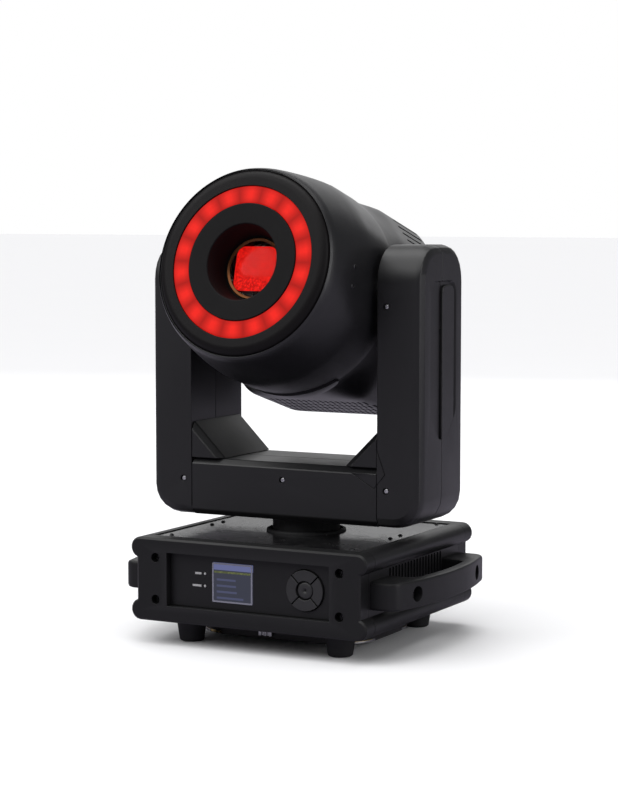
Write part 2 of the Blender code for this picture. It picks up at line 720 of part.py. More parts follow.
def arm_block(low_x, high_x, front, bottom, top, top_radius, bottom_radius, chamfer, seam):
    """Half of a yoke arm on the right, in front of the seam, with its rounded and cut edges."""
    outline = [(seam, bottom), (front, bottom)]
    outline += arc((front + top_radius, top - top_radius), top_radius, 180, 90, 6)
    outline += [(seam, top)]
    shape = prism(outline, "YZ", low_x, high_x)
    bevel_where(
        shape,
        lambda edge: lies_on(edge, 0, high_x) and lies_on(edge, 2, bottom),
        bottom_radius,
        5,
    )

    def outer_rim(edge):
        middle = (edge.verts[0].co + edge.verts[1].co) / 2
        sharp = edge.calc_face_angle(0) > math.radians(60)
        return sharp and middle.x > low_x + 1e-4 and abs(middle.y - seam) > 1e-4

    return bevel_where(shape, outer_rim, chamfer, 2)


def build_arm_covers(plastic, parent):
    for side_name, side in (("left", -1), ("right", 1)):
        for row, facing in (("front", 1), ("rear", -1)):
            seam = facing * ARM_SEAM - GAP / 2
            shape = arm_block(
                YOKE_INNER, YOKE_HALF_WIDTH, -YOKE_HALF_DEPTH, YOKE_BOTTOM, ARM_TOP,
                ARM_TOP_RADIUS, ARM_BOTTOM_RADIUS, ARM_CHAMFER, seam,
            )
            mirror_y(mirror_x(shape, side), facing)
            cover = piece(f"arm_{row}_cover_{side_name}", shape, plastic, parent)
            hollow = arm_block(
                YOKE_INNER + SHELL, YOKE_HALF_WIDTH - SHELL, SHELL - YOKE_HALF_DEPTH,
                YOKE_BOTTOM + SHELL, ARM_TOP - SHELL, ARM_TOP_RADIUS - SHELL,
                ARM_BOTTOM_RADIUS - SHELL, ARM_CHAMFER - SHELL / 2, seam + PASS,
            )
            cut(cover, mirror_y(mirror_x(hollow, side), facing))
            low = (YOKE_INNER - PASS, SHELL - YOKE_HALF_DEPTH, YOKE_BOTTOM + SHELL)
            junction = box(low, (YOKE_INNER + PASS / 2, PASS, CROSSBAR_TOP - SHELL))
            cut(cover, mirror_y(mirror_x(junction, side), facing))
            bore = cylinder(
                AXLE_COLLAR_RADIUS + AXLE_CLEARANCE, "X", YOKE_INNER - PASS, YOKE_INNER + PASS / 2,
                (0, 0, TILT_HEIGHT), ROUND_STEPS,
            )
            cut(cover, mirror_x(bore, side))


def build_crossbar(plastic, parent):
    half = YOKE_INNER - GAP
    for row, facing in (("front", 1), ("rear", -1)):
        seam = -GAP / 2
        front = -YOKE_HALF_DEPTH
        outline = [
            (seam, YOKE_BOTTOM), (front + CROSSBAR_CHAMFER, YOKE_BOTTOM),
            (front, YOKE_BOTTOM + CROSSBAR_CHAMFER), (front, CROSSBAR_TOP - CROSSBAR_CHAMFER),
            (front + CROSSBAR_CHAMFER, CROSSBAR_TOP), (seam, CROSSBAR_TOP),
            (seam, CROSSBAR_TOP - SHELL), (front + CROSSBAR_CHAMFER + SHELL / 2, CROSSBAR_TOP - SHELL),
            (front + SHELL, CROSSBAR_TOP - CROSSBAR_CHAMFER - SHELL / 2),
            (front + SHELL, YOKE_BOTTOM + CROSSBAR_CHAMFER + SHELL / 2),
            (front + CROSSBAR_CHAMFER + SHELL / 2, YOKE_BOTTOM + SHELL), (seam, YOKE_BOTTOM + SHELL),
        ]
        shape = mirror_y(prism(outline, "YZ", -half, half), facing)
        cover = piece(f"crossbar_{row}_cover", shape, plastic, parent)
        hole = cylinder(
            HUB_RADIUS + 2 * GAP, "Z", YOKE_BOTTOM - PASS, YOKE_BOTTOM + PASS, steps=ROUND_STEPS
        )
        cut(cover, hole)


def build_gussets(plastic, parent):
    reach = YOKE_INNER - GAP
    low = CROSSBAR_TOP + GAP
    outline = [(GUSSET_INNER, low), (reach, low), (reach, low + reach - GUSSET_INNER)]
    for name, side in (("gusset_left", -1), ("gusset_right", 1)):
        shape = prism(outline, "XZ", -YOKE_HALF_DEPTH, YOKE_HALF_DEPTH)

        def slope_end(edge):
            ends = lies_on(edge, 1, -YOKE_HALF_DEPTH) or lies_on(edge, 1, YOKE_HALF_DEPTH)
            return ends and not lies_on(edge, 0, reach) and not lies_on(edge, 2, low)

        bevel_where(shape, slope_end, CROSSBAR_CHAMFER, 1)
        piece(name, mirror_x(shape, side), plastic, parent)


def build_yoke_frame(steel, parent):
    """One folded steel strip: a floor in the crossbar and a plate up each arm."""
    top = ARM_TOP - FRAME_UNDER_TOP
    inner_low = FRAME_LOW + FRAME_PLATE
    outline = [
        (-FRAME_OUTER, FRAME_LOW), (FRAME_OUTER, FRAME_LOW), (FRAME_OUTER, top),
        (FRAME_INNER, top), (FRAME_INNER, inner_low), (-FRAME_INNER, inner_low),
        (-FRAME_INNER, top), (-FRAME_OUTER, top),
    ]
    frame = piece(
        "yoke_frame", prism(outline, "XZ", -FRAME_HALF_DEPTH, FRAME_HALF_DEPTH), steel, parent
    )
    radius = AXLE_END_RADIUS + AXLE_CLEARANCE / 2
    reach = FRAME_OUTER + PASS
    cut(frame, cylinder(radius, "X", -reach, reach, (0, 0, TILT_HEIGHT), ROUND_STEPS))


def belt_loop(grow):
    """The outline around the tilt pulley and pinion in YZ, this far outside their rims."""
    big = TILT_PULLEY_RADIUS + grow
    small = TILT_PINION_RADIUS + grow
    lean = math.degrees(math.asin((big - small) / TILT_MOTOR_DROP))
    over = arc((0, TILT_HEIGHT), big, -lean, 180 + lean, 16)
    under = arc((0, TILT_PINION_Z), small, 180 + lean, 360 - lean, 8)
    return over + under


def build_tilt_drive(steel, dark, rubber, parent, head):
    collar_low = HOUSING_SIDE + GAP
    collar_high = FRAME_INNER - GAP
    for name, side in (("tilt_axle_left", -1), ("tilt_axle_right", 1)):
        profile = [
            (0, CHASSIS_HALF_WIDTH + GAP), (AXLE_RADIUS, CHASSIS_HALF_WIDTH + GAP),
            (AXLE_RADIUS, collar_low), (AXLE_COLLAR_RADIUS, collar_low),
            (AXLE_COLLAR_RADIUS, collar_high), (AXLE_END_RADIUS, collar_high),
        ]
        if side > 0:
            profile += [
                (AXLE_END_RADIUS, TILT_PULLEY_X), (TILT_PULLEY_RADIUS, TILT_PULLEY_X),
                (TILT_PULLEY_RADIUS, TILT_PULLEY_X + TILT_PULLEY_WIDTH),
                (0, TILT_PULLEY_X + TILT_PULLEY_WIDTH),
            ]
        else:
            profile += [(AXLE_END_RADIUS, FRAME_OUTER + PASS / 2), (0, FRAME_OUTER + PASS / 2)]
        shape = mirror_x(turned(profile, "X"), side)
        piece(name, shape, steel, head)
    half = MOTOR_SIZE / 2
    low = (FRAME_OUTER + GAP, -half, TILT_PINION_Z - half)
    high = (FRAME_OUTER + GAP + TILT_MOTOR_LENGTH, half, TILT_PINION_Z + half)
    piece("tilt_motor", box(low, high), dark, parent)
    pinion = cylinder(
        TILT_PINION_RADIUS, "X", high[0] + GAP, TILT_PULLEY_X + TILT_PULLEY_WIDTH
    )
    piece("tilt_pinion", pinion, steel, parent, (0, 0, TILT_PINION_Z))
    edge = (TILT_PULLEY_X + 2 * GAP, TILT_PULLEY_X + TILT_PULLEY_WIDTH - 2 * GAP)
    belt = prism(belt_loop(GAP + BELT_THICKNESS), "YZ", *edge)
    belt = piece("tilt_belt", belt, rubber, parent)
    cut(belt, prism(belt_loop(GAP), "YZ", edge[0] - PASS, edge[1] + PASS))


def clip_flats(shape, wall):
    """Cuts the barrel's round shape flat at both sides and on top, moved in by a wall."""
    side = BARREL_FLAT - wall
    top = BARREL_TOP - wall
    for normal, distance in (((-1, 0, 0), side), ((1, 0, 0), side), ((0, 0, 1), top)):
        everything = shape.verts[:] + shape.edges[:] + shape.faces[:]
        made = bmesh.ops.bisect_plane(
            shape, geom=everything, dist=1e-6, plane_co=[part * distance for part in normal],
            plane_no=normal, clear_outer=True,
        )
        edges = [item for item in made["geom_cut"] if isinstance(item, bmesh.types.BMEdge)]
        bmesh.ops.edgeloop_fill(shape, edges=edges)
    return shape


def build_barrel(plastic, head):
    front = -BARREL_FRONT
    lip = BARREL_LIP + 0.0014
    outer = [(0, front), (lip, front)]
    outer += [(BARREL_RADIUS - inset, front + back) for inset, back in BARREL_NOSE]
    outer += [(BARREL_RADIUS, -BARREL_BACK), (0, -BARREL_BACK)]
    shape = clip_flats(turned(outer, "Y", BARREL_STEPS), 0)
    barrel = piece("front_barrel", shape, plastic, head)
    step = -CARRIER_FRONT - 2 * GAP
    inner = [(0, front - SHELL), (BARREL_LIP, front - SHELL), (BARREL_LIP, step)]
    inner += [(CARRIER_RADIUS + GAP, step)]
    wall = BARREL_RADIUS - SHELL
    inner += [(wall - inset, front + back) for inset, back in BARREL_NOSE[1:]]
    end = -BARREL_BACK - SHELL
    inner += [(wall, end), (0, end)]
    mouth = housing_outline(1, SHELL)[1:-1] + housing_outline(-1, SHELL)[-2:0:-1]
    cut(barrel, prism(mouth, "XZ", end - SHELL, PASS))
    cut(barrel, clip_flats(turned(inner, "Y", BARREL_STEPS), SHELL))


def build_head_front(plastic, diffuser, glass, head):
    back = -CARRIER_FRONT - GAP
    bezel_in = RING_OUTER + GAP
    bezel_out = BARREL_LIP - GAP
    profile = [
        (bezel_in, -BEZEL_FRONT), (BEZEL_FACE_RADIUS, -BEZEL_FRONT),
        (bezel_out, -BARREL_FRONT - 0.001), (bezel_out, back), (bezel_in, back),
    ]
    piece("front_bezel", turned(profile, "Y", BARREL_STEPS), plastic, head)
    profile = [
        (RING_INNER + GAP, -RING_FRONT), (RING_OUTER, -RING_FRONT),
        (RING_OUTER, back), (RING_INNER + GAP, back),
    ]
    piece("led_ring_diffuser", turned(profile, "Y", BARREL_STEPS), diffuser, head)
    carrier_back = CARRIER_THICKNESS - CARRIER_FRONT
    profile = [
        (WELL_RADIUS, -BEZEL_FRONT), (RING_INNER, -BEZEL_FRONT), (RING_INNER, -CARRIER_FRONT),
        (CARRIER_RADIUS, -CARRIER_FRONT), (CARRIER_RADIUS, carrier_back),
        (WELL_RADIUS + SHELL, carrier_back), (WELL_SEAT + SHELL, -WELL_BACK),
        (LENS_RADIUS - 0.002, -WELL_BACK), (LENS_RADIUS - 0.002, -LENS_SEAT + 0.006),
        (LENS_RADIUS + GAP, -LENS_SEAT + 0.006), (LENS_RADIUS + GAP, -LENS_SEAT),
        (WELL_SEAT, -LENS_SEAT),
    ]
    piece("lens_well", turned(profile, "Y", BARREL_STEPS), plastic, head)
    rim = LENS_RADIUS
    lens_back = -LENS_SEAT + 0.006 - GAP
    profile = [
        (0, -LENS_SEAT - LENS_BULGE), (rim * 0.35, -LENS_SEAT - LENS_BULGE * 0.88),
        (rim * 0.7, -LENS_SEAT - LENS_BULGE * 0.5), (rim, -LENS_SEAT), (rim, lens_back),
        (0, lens_back),
    ]
    piece("front_lens", turned(profile, "Y"), glass, head)


def housing_outline(half, wall):
    """The rear housing's outline in XZ, above or below the seam, moved in by a wall."""
    upper = (HOUSING_TOP, HOUSING_TOP_FLAT, HOUSING_TOP_SIDE)
    lower = (HOUSING_BOTTOM, HOUSING_BOTTOM_FLAT, HOUSING_BOTTOM_SIDE)
    height, flat, side = upper if half > 0 else lower
    slope = math.atan2(height - side, HOUSING_SIDE - flat)
    flat_in = flat - wall * math.tan(slope / 2)
    side_in = side - wall * math.tan((math.pi / 2 - slope) / 2)
    seam = half * GAP / 2
    x = HOUSING_SIDE - wall
    z = half * (height - wall)
    return [(x, seam), (x, half * side_in), (flat_in, z), (-flat_in, z), (-x, half * side_in), (-x, seam)]


def build_rear_housing(plastic, head):
    front = GAP - BARREL_BACK
    for name, half in (("rear_housing_top", 1), ("rear_housing_bottom", -1)):
        shape = prism(housing_outline(half, 0), "XZ", front, HOUSING_BACK)

        def back_rim(edge):
            seam = lies_on(edge, 2, half * GAP / 2)
            return lies_on(edge, 1, HOUSING_BACK) and not seam

        bevel_where(shape, back_rim, HOUSING_BEVEL, 2)
        housing = piece(name, shape, plastic, head)
        outline = housing_outline(half, SHELL)
        outline[0] = (outline[0][0], -half * PASS)
        outline[-1] = (outline[-1][0], -half * PASS)
        cut(housing, prism(outline, "XZ", front - PASS, HOUSING_BACK - SHELL))
        reach = HOUSING_SIDE + PASS
        axle = cylinder(AXLE_RADIUS + AXLE_CLEARANCE, "X", -reach, reach, steps=ROUND_STEPS)
        fan = cylinder(
            FAN_OPENING, "Y", HOUSING_BACK - SHELL - PASS, HOUSING_BACK + PASS, steps=ROUND_STEPS
        )
        cut(housing, joined([axle, fan]))


def build_optics(sheet, aluminium, glass, dark, head):
    half = CHASSIS_HALF_WIDTH
    high = CHASSIS_HALF_HEIGHT
    wall = CHASSIS_SHEET
    outline = [
        (-half, -high), (half, -high), (half, high), (half - wall, high),
        (half - wall, wall - high), (wall - half, wall - high), (wall - half, high), (-half, high),
    ]
    piece("optical_chassis", prism(outline, "XZ", -CHASSIS_FRONT, CHASSIS_BACK), sheet, head)
    piece(
        "led_engine",
        prism(engine_outline(wall - high + GAP), "XZ", ENGINE_FRONT, ENGINE_FRONT + ENGINE_LENGTH),
        aluminium, head,
    )
    build_wheel("colour_wheel", (-WHEEL_OFFSET, COLOUR_WHEEL_Y, WHEEL_OFFSET), COLOUR_HOLE, glass, head)
    build_wheel("gobo_wheel", (WHEEL_OFFSET, GOBO_WHEEL_Y, WHEEL_OFFSET), GOBO_HOLE, aluminium, head)
    disc = cylinder(CARRIAGE_RADIUS, "Y", -CARRIAGE_THICKNESS / 2, CARRIAGE_THICKNESS / 2, steps=24)
    piece("focus_carriage", disc, dark, head, (0, CARRIAGE_Y, 0))
    rotor = prism(fan_outline(), "XZ", -FAN_LENGTH / 2, FAN_LENGTH / 2)
    place = HOUSING_BACK - SHELL - FAN_FROM_BACK - FAN_LENGTH / 2
    piece("fan_rotor", rotor, dark, head, (0, place, 0))


def engine_outline(low):
    """A heat sink's section: a base with fins standing on it."""
    half = (ENGINE_FINS - 1) / 2 * ENGINE_PITCH + ENGINE_FIN / 2
    outline = [(-half, low), (half, low)]
    for i in reversed(range(ENGINE_FINS)):
        x = (i - (ENGINE_FINS - 1) / 2) * ENGINE_PITCH
        right, left = x + ENGINE_FIN / 2, x - ENGINE_FIN / 2
        base = low + ENGINE_BASE
        if i < ENGINE_FINS - 1:
            outline.append((right, base))
        outline += [(right, low + ENGINE_HEIGHT), (left, low + ENGINE_HEIGHT)]
        if i > 0:
            outline.append((left, base))
    return outline


def build_wheel(name, place, hole, material, head):
    """A filter wheel whose first hole lies on the optical axis."""
    half = WHEEL_THICKNESS / 2
    wheel = piece(name, cylinder(WHEEL_RADIUS, "Y", -half, half, steps=40), material, head, place)
    pitch = math.hypot(place[0], place[2])
    first = math.atan2(-place[2], -place[0])
    holes = []
    for i in range(WHEEL_HOLES):
        angle = first + 2 * math.pi * i / WHEEL_HOLES
        centre = (pitch * math.cos(angle), 0, pitch * math.sin(angle))
        holes.append(cylinder(hole, "Y", -PASS, PASS, centre, 12))
    cut(wheel, joined(holes))


def fan_outline():
    """A hub with straight blades around it."""
    outline = []
    near = math.degrees(math.asin(FAN_BLADE / 2 / FAN_HUB))
    far = math.degrees(math.asin(FAN_BLADE / 2 / FAN_RADIUS))
    pitch = 360 / FAN_BLADES
    for i in range(FAN_BLADES):
        turn = pitch * i
        outline += arc((0, 0), FAN_RADIUS, turn - far, turn + far, 1)
        outline += arc((0, 0), FAN_HUB, turn + near, turn + pitch - near, 3)
    return outline


def main():
    clear_scene()
    plastic = finish("black_plastic", BLACK, 0.45, 0.0)
    paint = finish("black_paint", (0.02, 0.02, 0.021), 0.35, 0.2)
    rubber = finish("black_rubber", (0.01, 0.01, 0.01), 0.8, 0.0)
    steel = finish("steel", (0.45, 0.45, 0.46), 0.35, 1.0)
    zinc = finish("yellow_zinc", (0.72, 0.55, 0.22), 0.3, 1.0)
    dark = finish("dark_metal", (0.05, 0.05, 0.055), 0.4, 0.8)
    aluminium = finish("aluminium", (0.75, 0.75, 0.77), 0.4, 1.0)
    glass = finish("lens_glass", (0.45, 0.02, 0.02), 0.05, 0.0)
    screen = finish("screen", (0.12, 0.12, 0.2), 0.1, 0.0)
    diffuser = finish("red_diffuser", (0.7, 0.02, 0.02), 0.4, 0.0)
    yoke = pivot("yoke_pivot", (0, 0, 0))
    head = pivot("head_pivot", (0, 0, TILT_HEIGHT), yoke, -HEAD_TILT)
    build_front_frame(plastic)
    build_rear_frame(plastic)
    build_sockets(screen, dark)
    build_side_panels(plastic)
    build_chassis(steel, paint)
    build_control_panel(plastic, screen, rubber)
    build_underside(paint, zinc, rubber, steel)
    build_handles(plastic)
    build_pan_drive(steel, dark, aluminium, yoke)
    build_arm_covers(plastic, yoke)
    build_crossbar(plastic, yoke)
    build_gussets(plastic, yoke)
    build_yoke_frame(steel, yoke)
    build_tilt_drive(steel, dark, rubber, yoke, head)
    build_barrel(plastic, head)
    build_head_front(plastic, diffuser, glass, head)
    build_rear_housing(plastic, head)
    build_optics(steel, aluminium, glass, dark, head)


main()
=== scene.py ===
"""Looks of the moving head stage light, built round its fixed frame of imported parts.

Lengths are in metres, +Z is up and -Y is the front. The origin is the point where the pan axis
meets the flat underside of the mounting tray. The head has its own frame: the tilt axis along X,
-Y out of the lens and +Z up.
"""

import json
import logging
import math
from collections.abc import Iterable, Sequence
from dataclasses import dataclass
from enum import Enum

import bmesh
import bpy
from bmesh.types import BMEdge, BMesh, BMVert
from bpy.types import Material, Node, NodeSocket, NodeTree, Object
from mathutils import Matrix, Vector
from mathutils.bvhtree import BVHTree

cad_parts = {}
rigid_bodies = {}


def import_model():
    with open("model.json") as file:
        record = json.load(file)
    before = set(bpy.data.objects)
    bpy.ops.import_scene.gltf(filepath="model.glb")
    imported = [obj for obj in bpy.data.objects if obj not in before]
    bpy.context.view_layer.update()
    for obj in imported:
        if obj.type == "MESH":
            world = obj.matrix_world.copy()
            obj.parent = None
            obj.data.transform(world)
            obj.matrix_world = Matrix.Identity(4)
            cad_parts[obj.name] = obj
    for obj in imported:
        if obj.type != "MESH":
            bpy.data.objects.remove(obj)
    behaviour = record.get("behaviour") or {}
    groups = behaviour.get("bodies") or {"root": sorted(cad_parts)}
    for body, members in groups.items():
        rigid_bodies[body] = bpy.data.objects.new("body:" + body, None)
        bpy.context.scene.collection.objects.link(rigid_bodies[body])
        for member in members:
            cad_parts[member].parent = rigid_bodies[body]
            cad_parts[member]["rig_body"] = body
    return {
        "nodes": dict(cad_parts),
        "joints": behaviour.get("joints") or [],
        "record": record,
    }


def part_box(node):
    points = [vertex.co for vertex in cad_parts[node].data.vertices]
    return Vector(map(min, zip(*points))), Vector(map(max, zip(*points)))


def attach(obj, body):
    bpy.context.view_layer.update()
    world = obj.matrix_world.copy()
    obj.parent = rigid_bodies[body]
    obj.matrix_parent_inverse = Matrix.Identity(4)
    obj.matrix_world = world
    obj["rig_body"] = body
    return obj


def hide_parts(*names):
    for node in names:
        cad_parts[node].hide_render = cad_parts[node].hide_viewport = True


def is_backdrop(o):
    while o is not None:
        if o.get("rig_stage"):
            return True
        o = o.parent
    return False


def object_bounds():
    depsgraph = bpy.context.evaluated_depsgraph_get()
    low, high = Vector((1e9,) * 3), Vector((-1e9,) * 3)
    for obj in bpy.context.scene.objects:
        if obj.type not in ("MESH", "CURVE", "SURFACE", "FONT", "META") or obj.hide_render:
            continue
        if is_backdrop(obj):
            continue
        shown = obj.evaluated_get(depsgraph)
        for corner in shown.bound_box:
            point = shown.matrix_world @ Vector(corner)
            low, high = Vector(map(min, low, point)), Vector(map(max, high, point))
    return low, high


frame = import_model()

log = logging.getLogger("light")

Point = tuple[float, float, float]
Colour = tuple[float, float, float]

MERGE = 1e-6
CAD_MERGE = 2e-6
FLAT_ANGLE = math.radians(0.5)
SHARP_ANGLE = math.radians(32)
CORNER_ANGLE = math.radians(24)
GAP = 0.0003
SLOTS: dict[str, str] = {item["node"]: item["material_slot"] for item in frame["record"]["subparts"]}


# ---------------------------------------------------------------------------------------------
# Finishes
# ---------------------------------------------------------------------------------------------


class Grain(Enum):
    """The small relief that a surface was made with."""

    MOULDED = "moulded"
    SMOOTH = "smooth"
    BRUSHED = "brushed"
    CAST = "cast"
    RUBBER = "rubber"


class Graph:
    """Adds shader nodes to a tree and joins them."""

    def __init__(self, tree: NodeTree) -> None:
        """Keeps the tree that nodes are added to."""
        self.tree = tree

    def add(self, kind: str, **settings: object) -> Node:
        """Adds one node.

        Args:
            kind: the node's type without its ShaderNode prefix.
            settings: attributes to set on it.

        Returns:
            The new node.
        """
        made = self.tree.nodes.new("ShaderNode" + kind)
        for name, value in settings.items():
            setattr(made, name, value)
        return made

    def join(self, source: NodeSocket, target: NodeSocket) -> None:
        """Links an output to an input."""
        self.tree.links.new(source, target)

    def give(self, target: NodeSocket, value: object) -> None:
        """Links a socket, or sets a plain value, on an input.

        Args:
            target: the input.
            value: an output to link to it, or a plain value to set on it.
        """
        if isinstance(value, NodeSocket):
            self.join(value, target)
        else:
            target.default_value = value

    def maths(self, operation: str, first: object, second: object = 0.0) -> NodeSocket:
        """One Math node's result.

        Args:
            operation: the Math node's operation.
            first: its first input, a socket or a number.
            second: its second input, a socket or a number.

        Returns:
            The result.
        """
        made = self.add("Math", operation=operation)
        self.give(made.inputs[0], first)
        self.give(made.inputs[1], second)
        return made.outputs[0]

    def remap(self, value: NodeSocket, low: float, high: float, to_low: float, to_high: float) -> NodeSocket:
        """A value moved from one range to another and held inside it.

        Args:
            value: the value to move.
            low: the low end of its own range.
            high: the high end of its own range.
            to_low: what the low end becomes.
            to_high: what the high end becomes.

        Returns:
            The moved value.
        """
        made = self.add("MapRange", clamp=True)
        for index, item in enumerate((value, low, high, to_low, to_high)):
            self.give(made.inputs[index], item)
        return made.outputs[0]

    def blend(self, share: object, first: object, second: object) -> NodeSocket:
        """Two colours mixed by a share.

        Args:
            share: how much of the second colour there is, from 0 to 1.
            first: the first colour, a socket or four numbers.
            second: the second colour, a socket or four numbers.

        Returns:
            The mixed colour.
        """
        made = self.add("Mix", data_type="RGBA")
        self.give(made.inputs[0], share)
        self.give(made.inputs[6], first)
        self.give(made.inputs[7], second)
        return made.outputs[2]

    def noise(self, where: NodeSocket, scale: object, detail: float = 4.0, rough: float = 0.55) -> NodeSocket:
        """A noise texture's value at a place.

        Args:
            where: the coordinates.
            scale: how many times the pattern repeats in a metre.
            detail: how many finer layers it has.
            rough: how strong the finer layers are.

        Returns:
            The value.
        """
        made = self.add("TexNoise")
        self.join(where, made.inputs["Vector"])
        self.give(made.inputs["Scale"], scale)
        made.inputs["Detail"].default_value = detail
        made.inputs["Roughness"].default_value = rough
        return made.outputs["Fac"]

    def stretched(self, where: NodeSocket, scale: Point, turn: Point = (0, 0, 0)) -> NodeSocket:
        """Coordinates scaled and turned.

        Args:
            where: the coordinates.
            scale: the scale along each axis.
            turn: the turn about each axis, in radians.

        Returns:
            The new coordinates.
        """
        made = self.add("Mapping")
        self.join(where, made.inputs["Vector"])
        made.inputs["Scale"].default_value = scale
        made.inputs["Rotation"].default_value = turn
        return made.outputs[0]


class SharedGroups:
    """The surface effects that several finishes use, each built once."""

    made: dict[str, NodeTree] = {}

    @classmethod
    def get(cls, name: str) -> NodeTree:
        """The named group, built the first time it is asked for.

        Args:
            name: the effect's name, which is also the name of its method.

        Returns:
            The node group.
        """
        if name not in cls.made:
            cls.made[name] = getattr(cls, name)()
        return cls.made[name]

    @staticmethod
    def start(name: str, numbers: Sequence[str], results: Sequence[str]) -> tuple[Graph, Node, Node]:
        """A group with a Vector input, further number inputs, and number outputs.

        Args:
            name: the group's name.
            numbers: the names of its number inputs.
            results: the names of its outputs.

        Returns:
            Its graph, its input node and its output node.
        """
        tree = bpy.data.node_groups.new(name, "ShaderNodeTree")
        tree.interface.new_socket("Vector", in_out="INPUT", socket_type="NodeSocketVector")
        for item in numbers:
            tree.interface.new_socket(item, in_out="INPUT", socket_type="NodeSocketFloat")
        for item in results:
            tree.interface.new_socket(item, in_out="OUTPUT", socket_type="NodeSocketFloat")
        graph = Graph(tree)
        return graph, tree.nodes.new("NodeGroupInput"), tree.nodes.new("NodeGroupOutput")

    @staticmethod
    def moulded() -> NodeTree:
        """Spark-eroded texture: fine pits over a soft leather-like swell.

        Returns:
            The node group, with the relief as Height.
        """
        graph, given, result = SharedGroups.start("moulded", ["Scale"], ["Height"])
        where, scale = given.outputs["Vector"], given.outputs["Scale"]
        cells = graph.add("TexVoronoi", feature="SMOOTH_F1")
        graph.join(where, cells.inputs["Vector"])
        graph.join(scale, cells.inputs["Scale"])
        fine = graph.noise(where, graph.maths("MULTIPLY", scale, 2.3), 3.0)
        swell = graph.noise(where, graph.maths("MULTIPLY", scale, 0.13), 2.0)
        pits = graph.maths("MULTIPLY_ADD", cells.outputs["Distance"], 0.6)
        graph.join(fine, pits.node.inputs[2])
        graph.join(graph.maths("ADD", pits, graph.maths("MULTIPLY", swell, 0.7)), result.inputs["Height"])
        return graph.tree

    @staticmethod
    def smooth() -> NodeTree:
        """The slight orange peel of sprayed lacquer.

        Returns:
            The node group, with the relief as Height.
        """
        graph, given, result = SharedGroups.start("smooth", ["Scale"], ["Height"])
        peel = graph.noise(given.outputs["Vector"], given.outputs["Scale"], 1.5, 0.3)
        graph.join(peel, result.inputs["Height"])
        return graph.tree

    @staticmethod
    def brushed() -> NodeTree:
        """Fine lines left by brushing or rolling, along X.

        Returns:
            The node group, with the relief as Height.
        """
        graph, given, result = SharedGroups.start("brushed", ["Scale"], ["Height"])
        lines = graph.stretched(given.outputs["Vector"], (0.04, 1.0, 1.0))
        coarse = graph.noise(lines, given.outputs["Scale"], 5.0, 0.7)
        graph.join(coarse, result.inputs["Height"])
        return graph.tree

    @staticmethod
    def cast() -> NodeTree:
        """The sandy skin of a die casting under powder coat.

        Returns:
            The node group, with the relief as Height.
        """
        graph, given, result = SharedGroups.start("cast", ["Scale"], ["Height"])
        where, scale = given.outputs["Vector"], given.outputs["Scale"]
        sand = graph.noise(where, scale, 6.0, 0.7)
        lumps = graph.noise(where, graph.maths("MULTIPLY", scale, 0.3), 2.0)
        graph.join(graph.maths("ADD", sand, graph.maths("MULTIPLY", lumps, 0.5)), result.inputs["Height"])
        return graph.tree

    @staticmethod
    def rubber() -> NodeTree:
        """Dull rubber with a faint bloom of specks.

        Returns:
            The node group, with the relief as Height.
        """
        graph, given, result = SharedGroups.start("rubber", ["Scale"], ["Height"])
        where, scale = given.outputs["Vector"], given.outputs["Scale"]
        specks = graph.add("TexVoronoi", feature="F1")
        graph.join(where, specks.inputs["Vector"])
        graph.join(scale, specks.inputs["Scale"])
        skin = graph.noise(where, graph.maths("MULTIPLY", scale, 0.5), 5.0, 0.65)
        graph.join(graph.maths("ADD", specks.outputs["Distance"], skin), result.inputs["Height"])
        return graph.tree

    @staticmethod
    def handling() -> NodeTree:
        """Smudges and faint rub marks from hands and cases.

        Returns:
            The node group, with Smudge and Rub.
        """
        graph, given, result = SharedGroups.start("handling", ["Scale"], ["Smudge", "Rub"])
        where, scale = given.outputs["Vector"], given.outputs["Scale"]
        cloud = graph.noise(where, scale, 4.0, 0.6)
        graph.join(graph.remap(cloud, 0.35, 0.72, 0.0, 1.0), result.inputs["Smudge"])
        streak = graph.stretched(where, (1.0, 0.12, 0.6), (0.3, 0.5, 0.8))
        rub = graph.noise(streak, graph.maths("MULTIPLY", scale, 9.0), 3.0, 0.7)
        graph.join(graph.remap(rub, 0.62, 0.78, 0.0, 1.0), result.inputs["Rub"])
        return graph.tree

    @staticmethod
    def dust() -> NodeTree:
        """Fine dust that settles on what faces up.

        Returns:
            The node group, with the dust as Cover.
        """
        graph, given, result = SharedGroups.start("dust", ["Up", "Scale"], ["Cover"])
        speckle = graph.noise(given.outputs["Vector"], given.outputs["Scale"], 6.0, 0.7)
        facing = graph.remap(given.outputs["Up"], 0.35, 1.0, 0.0, 1.0)
        graph.join(
            graph.maths("MULTIPLY", graph.remap(speckle, 0.4, 0.75, 0.0, 1.0), facing),
            result.inputs["Cover"],
        )
        return graph.tree


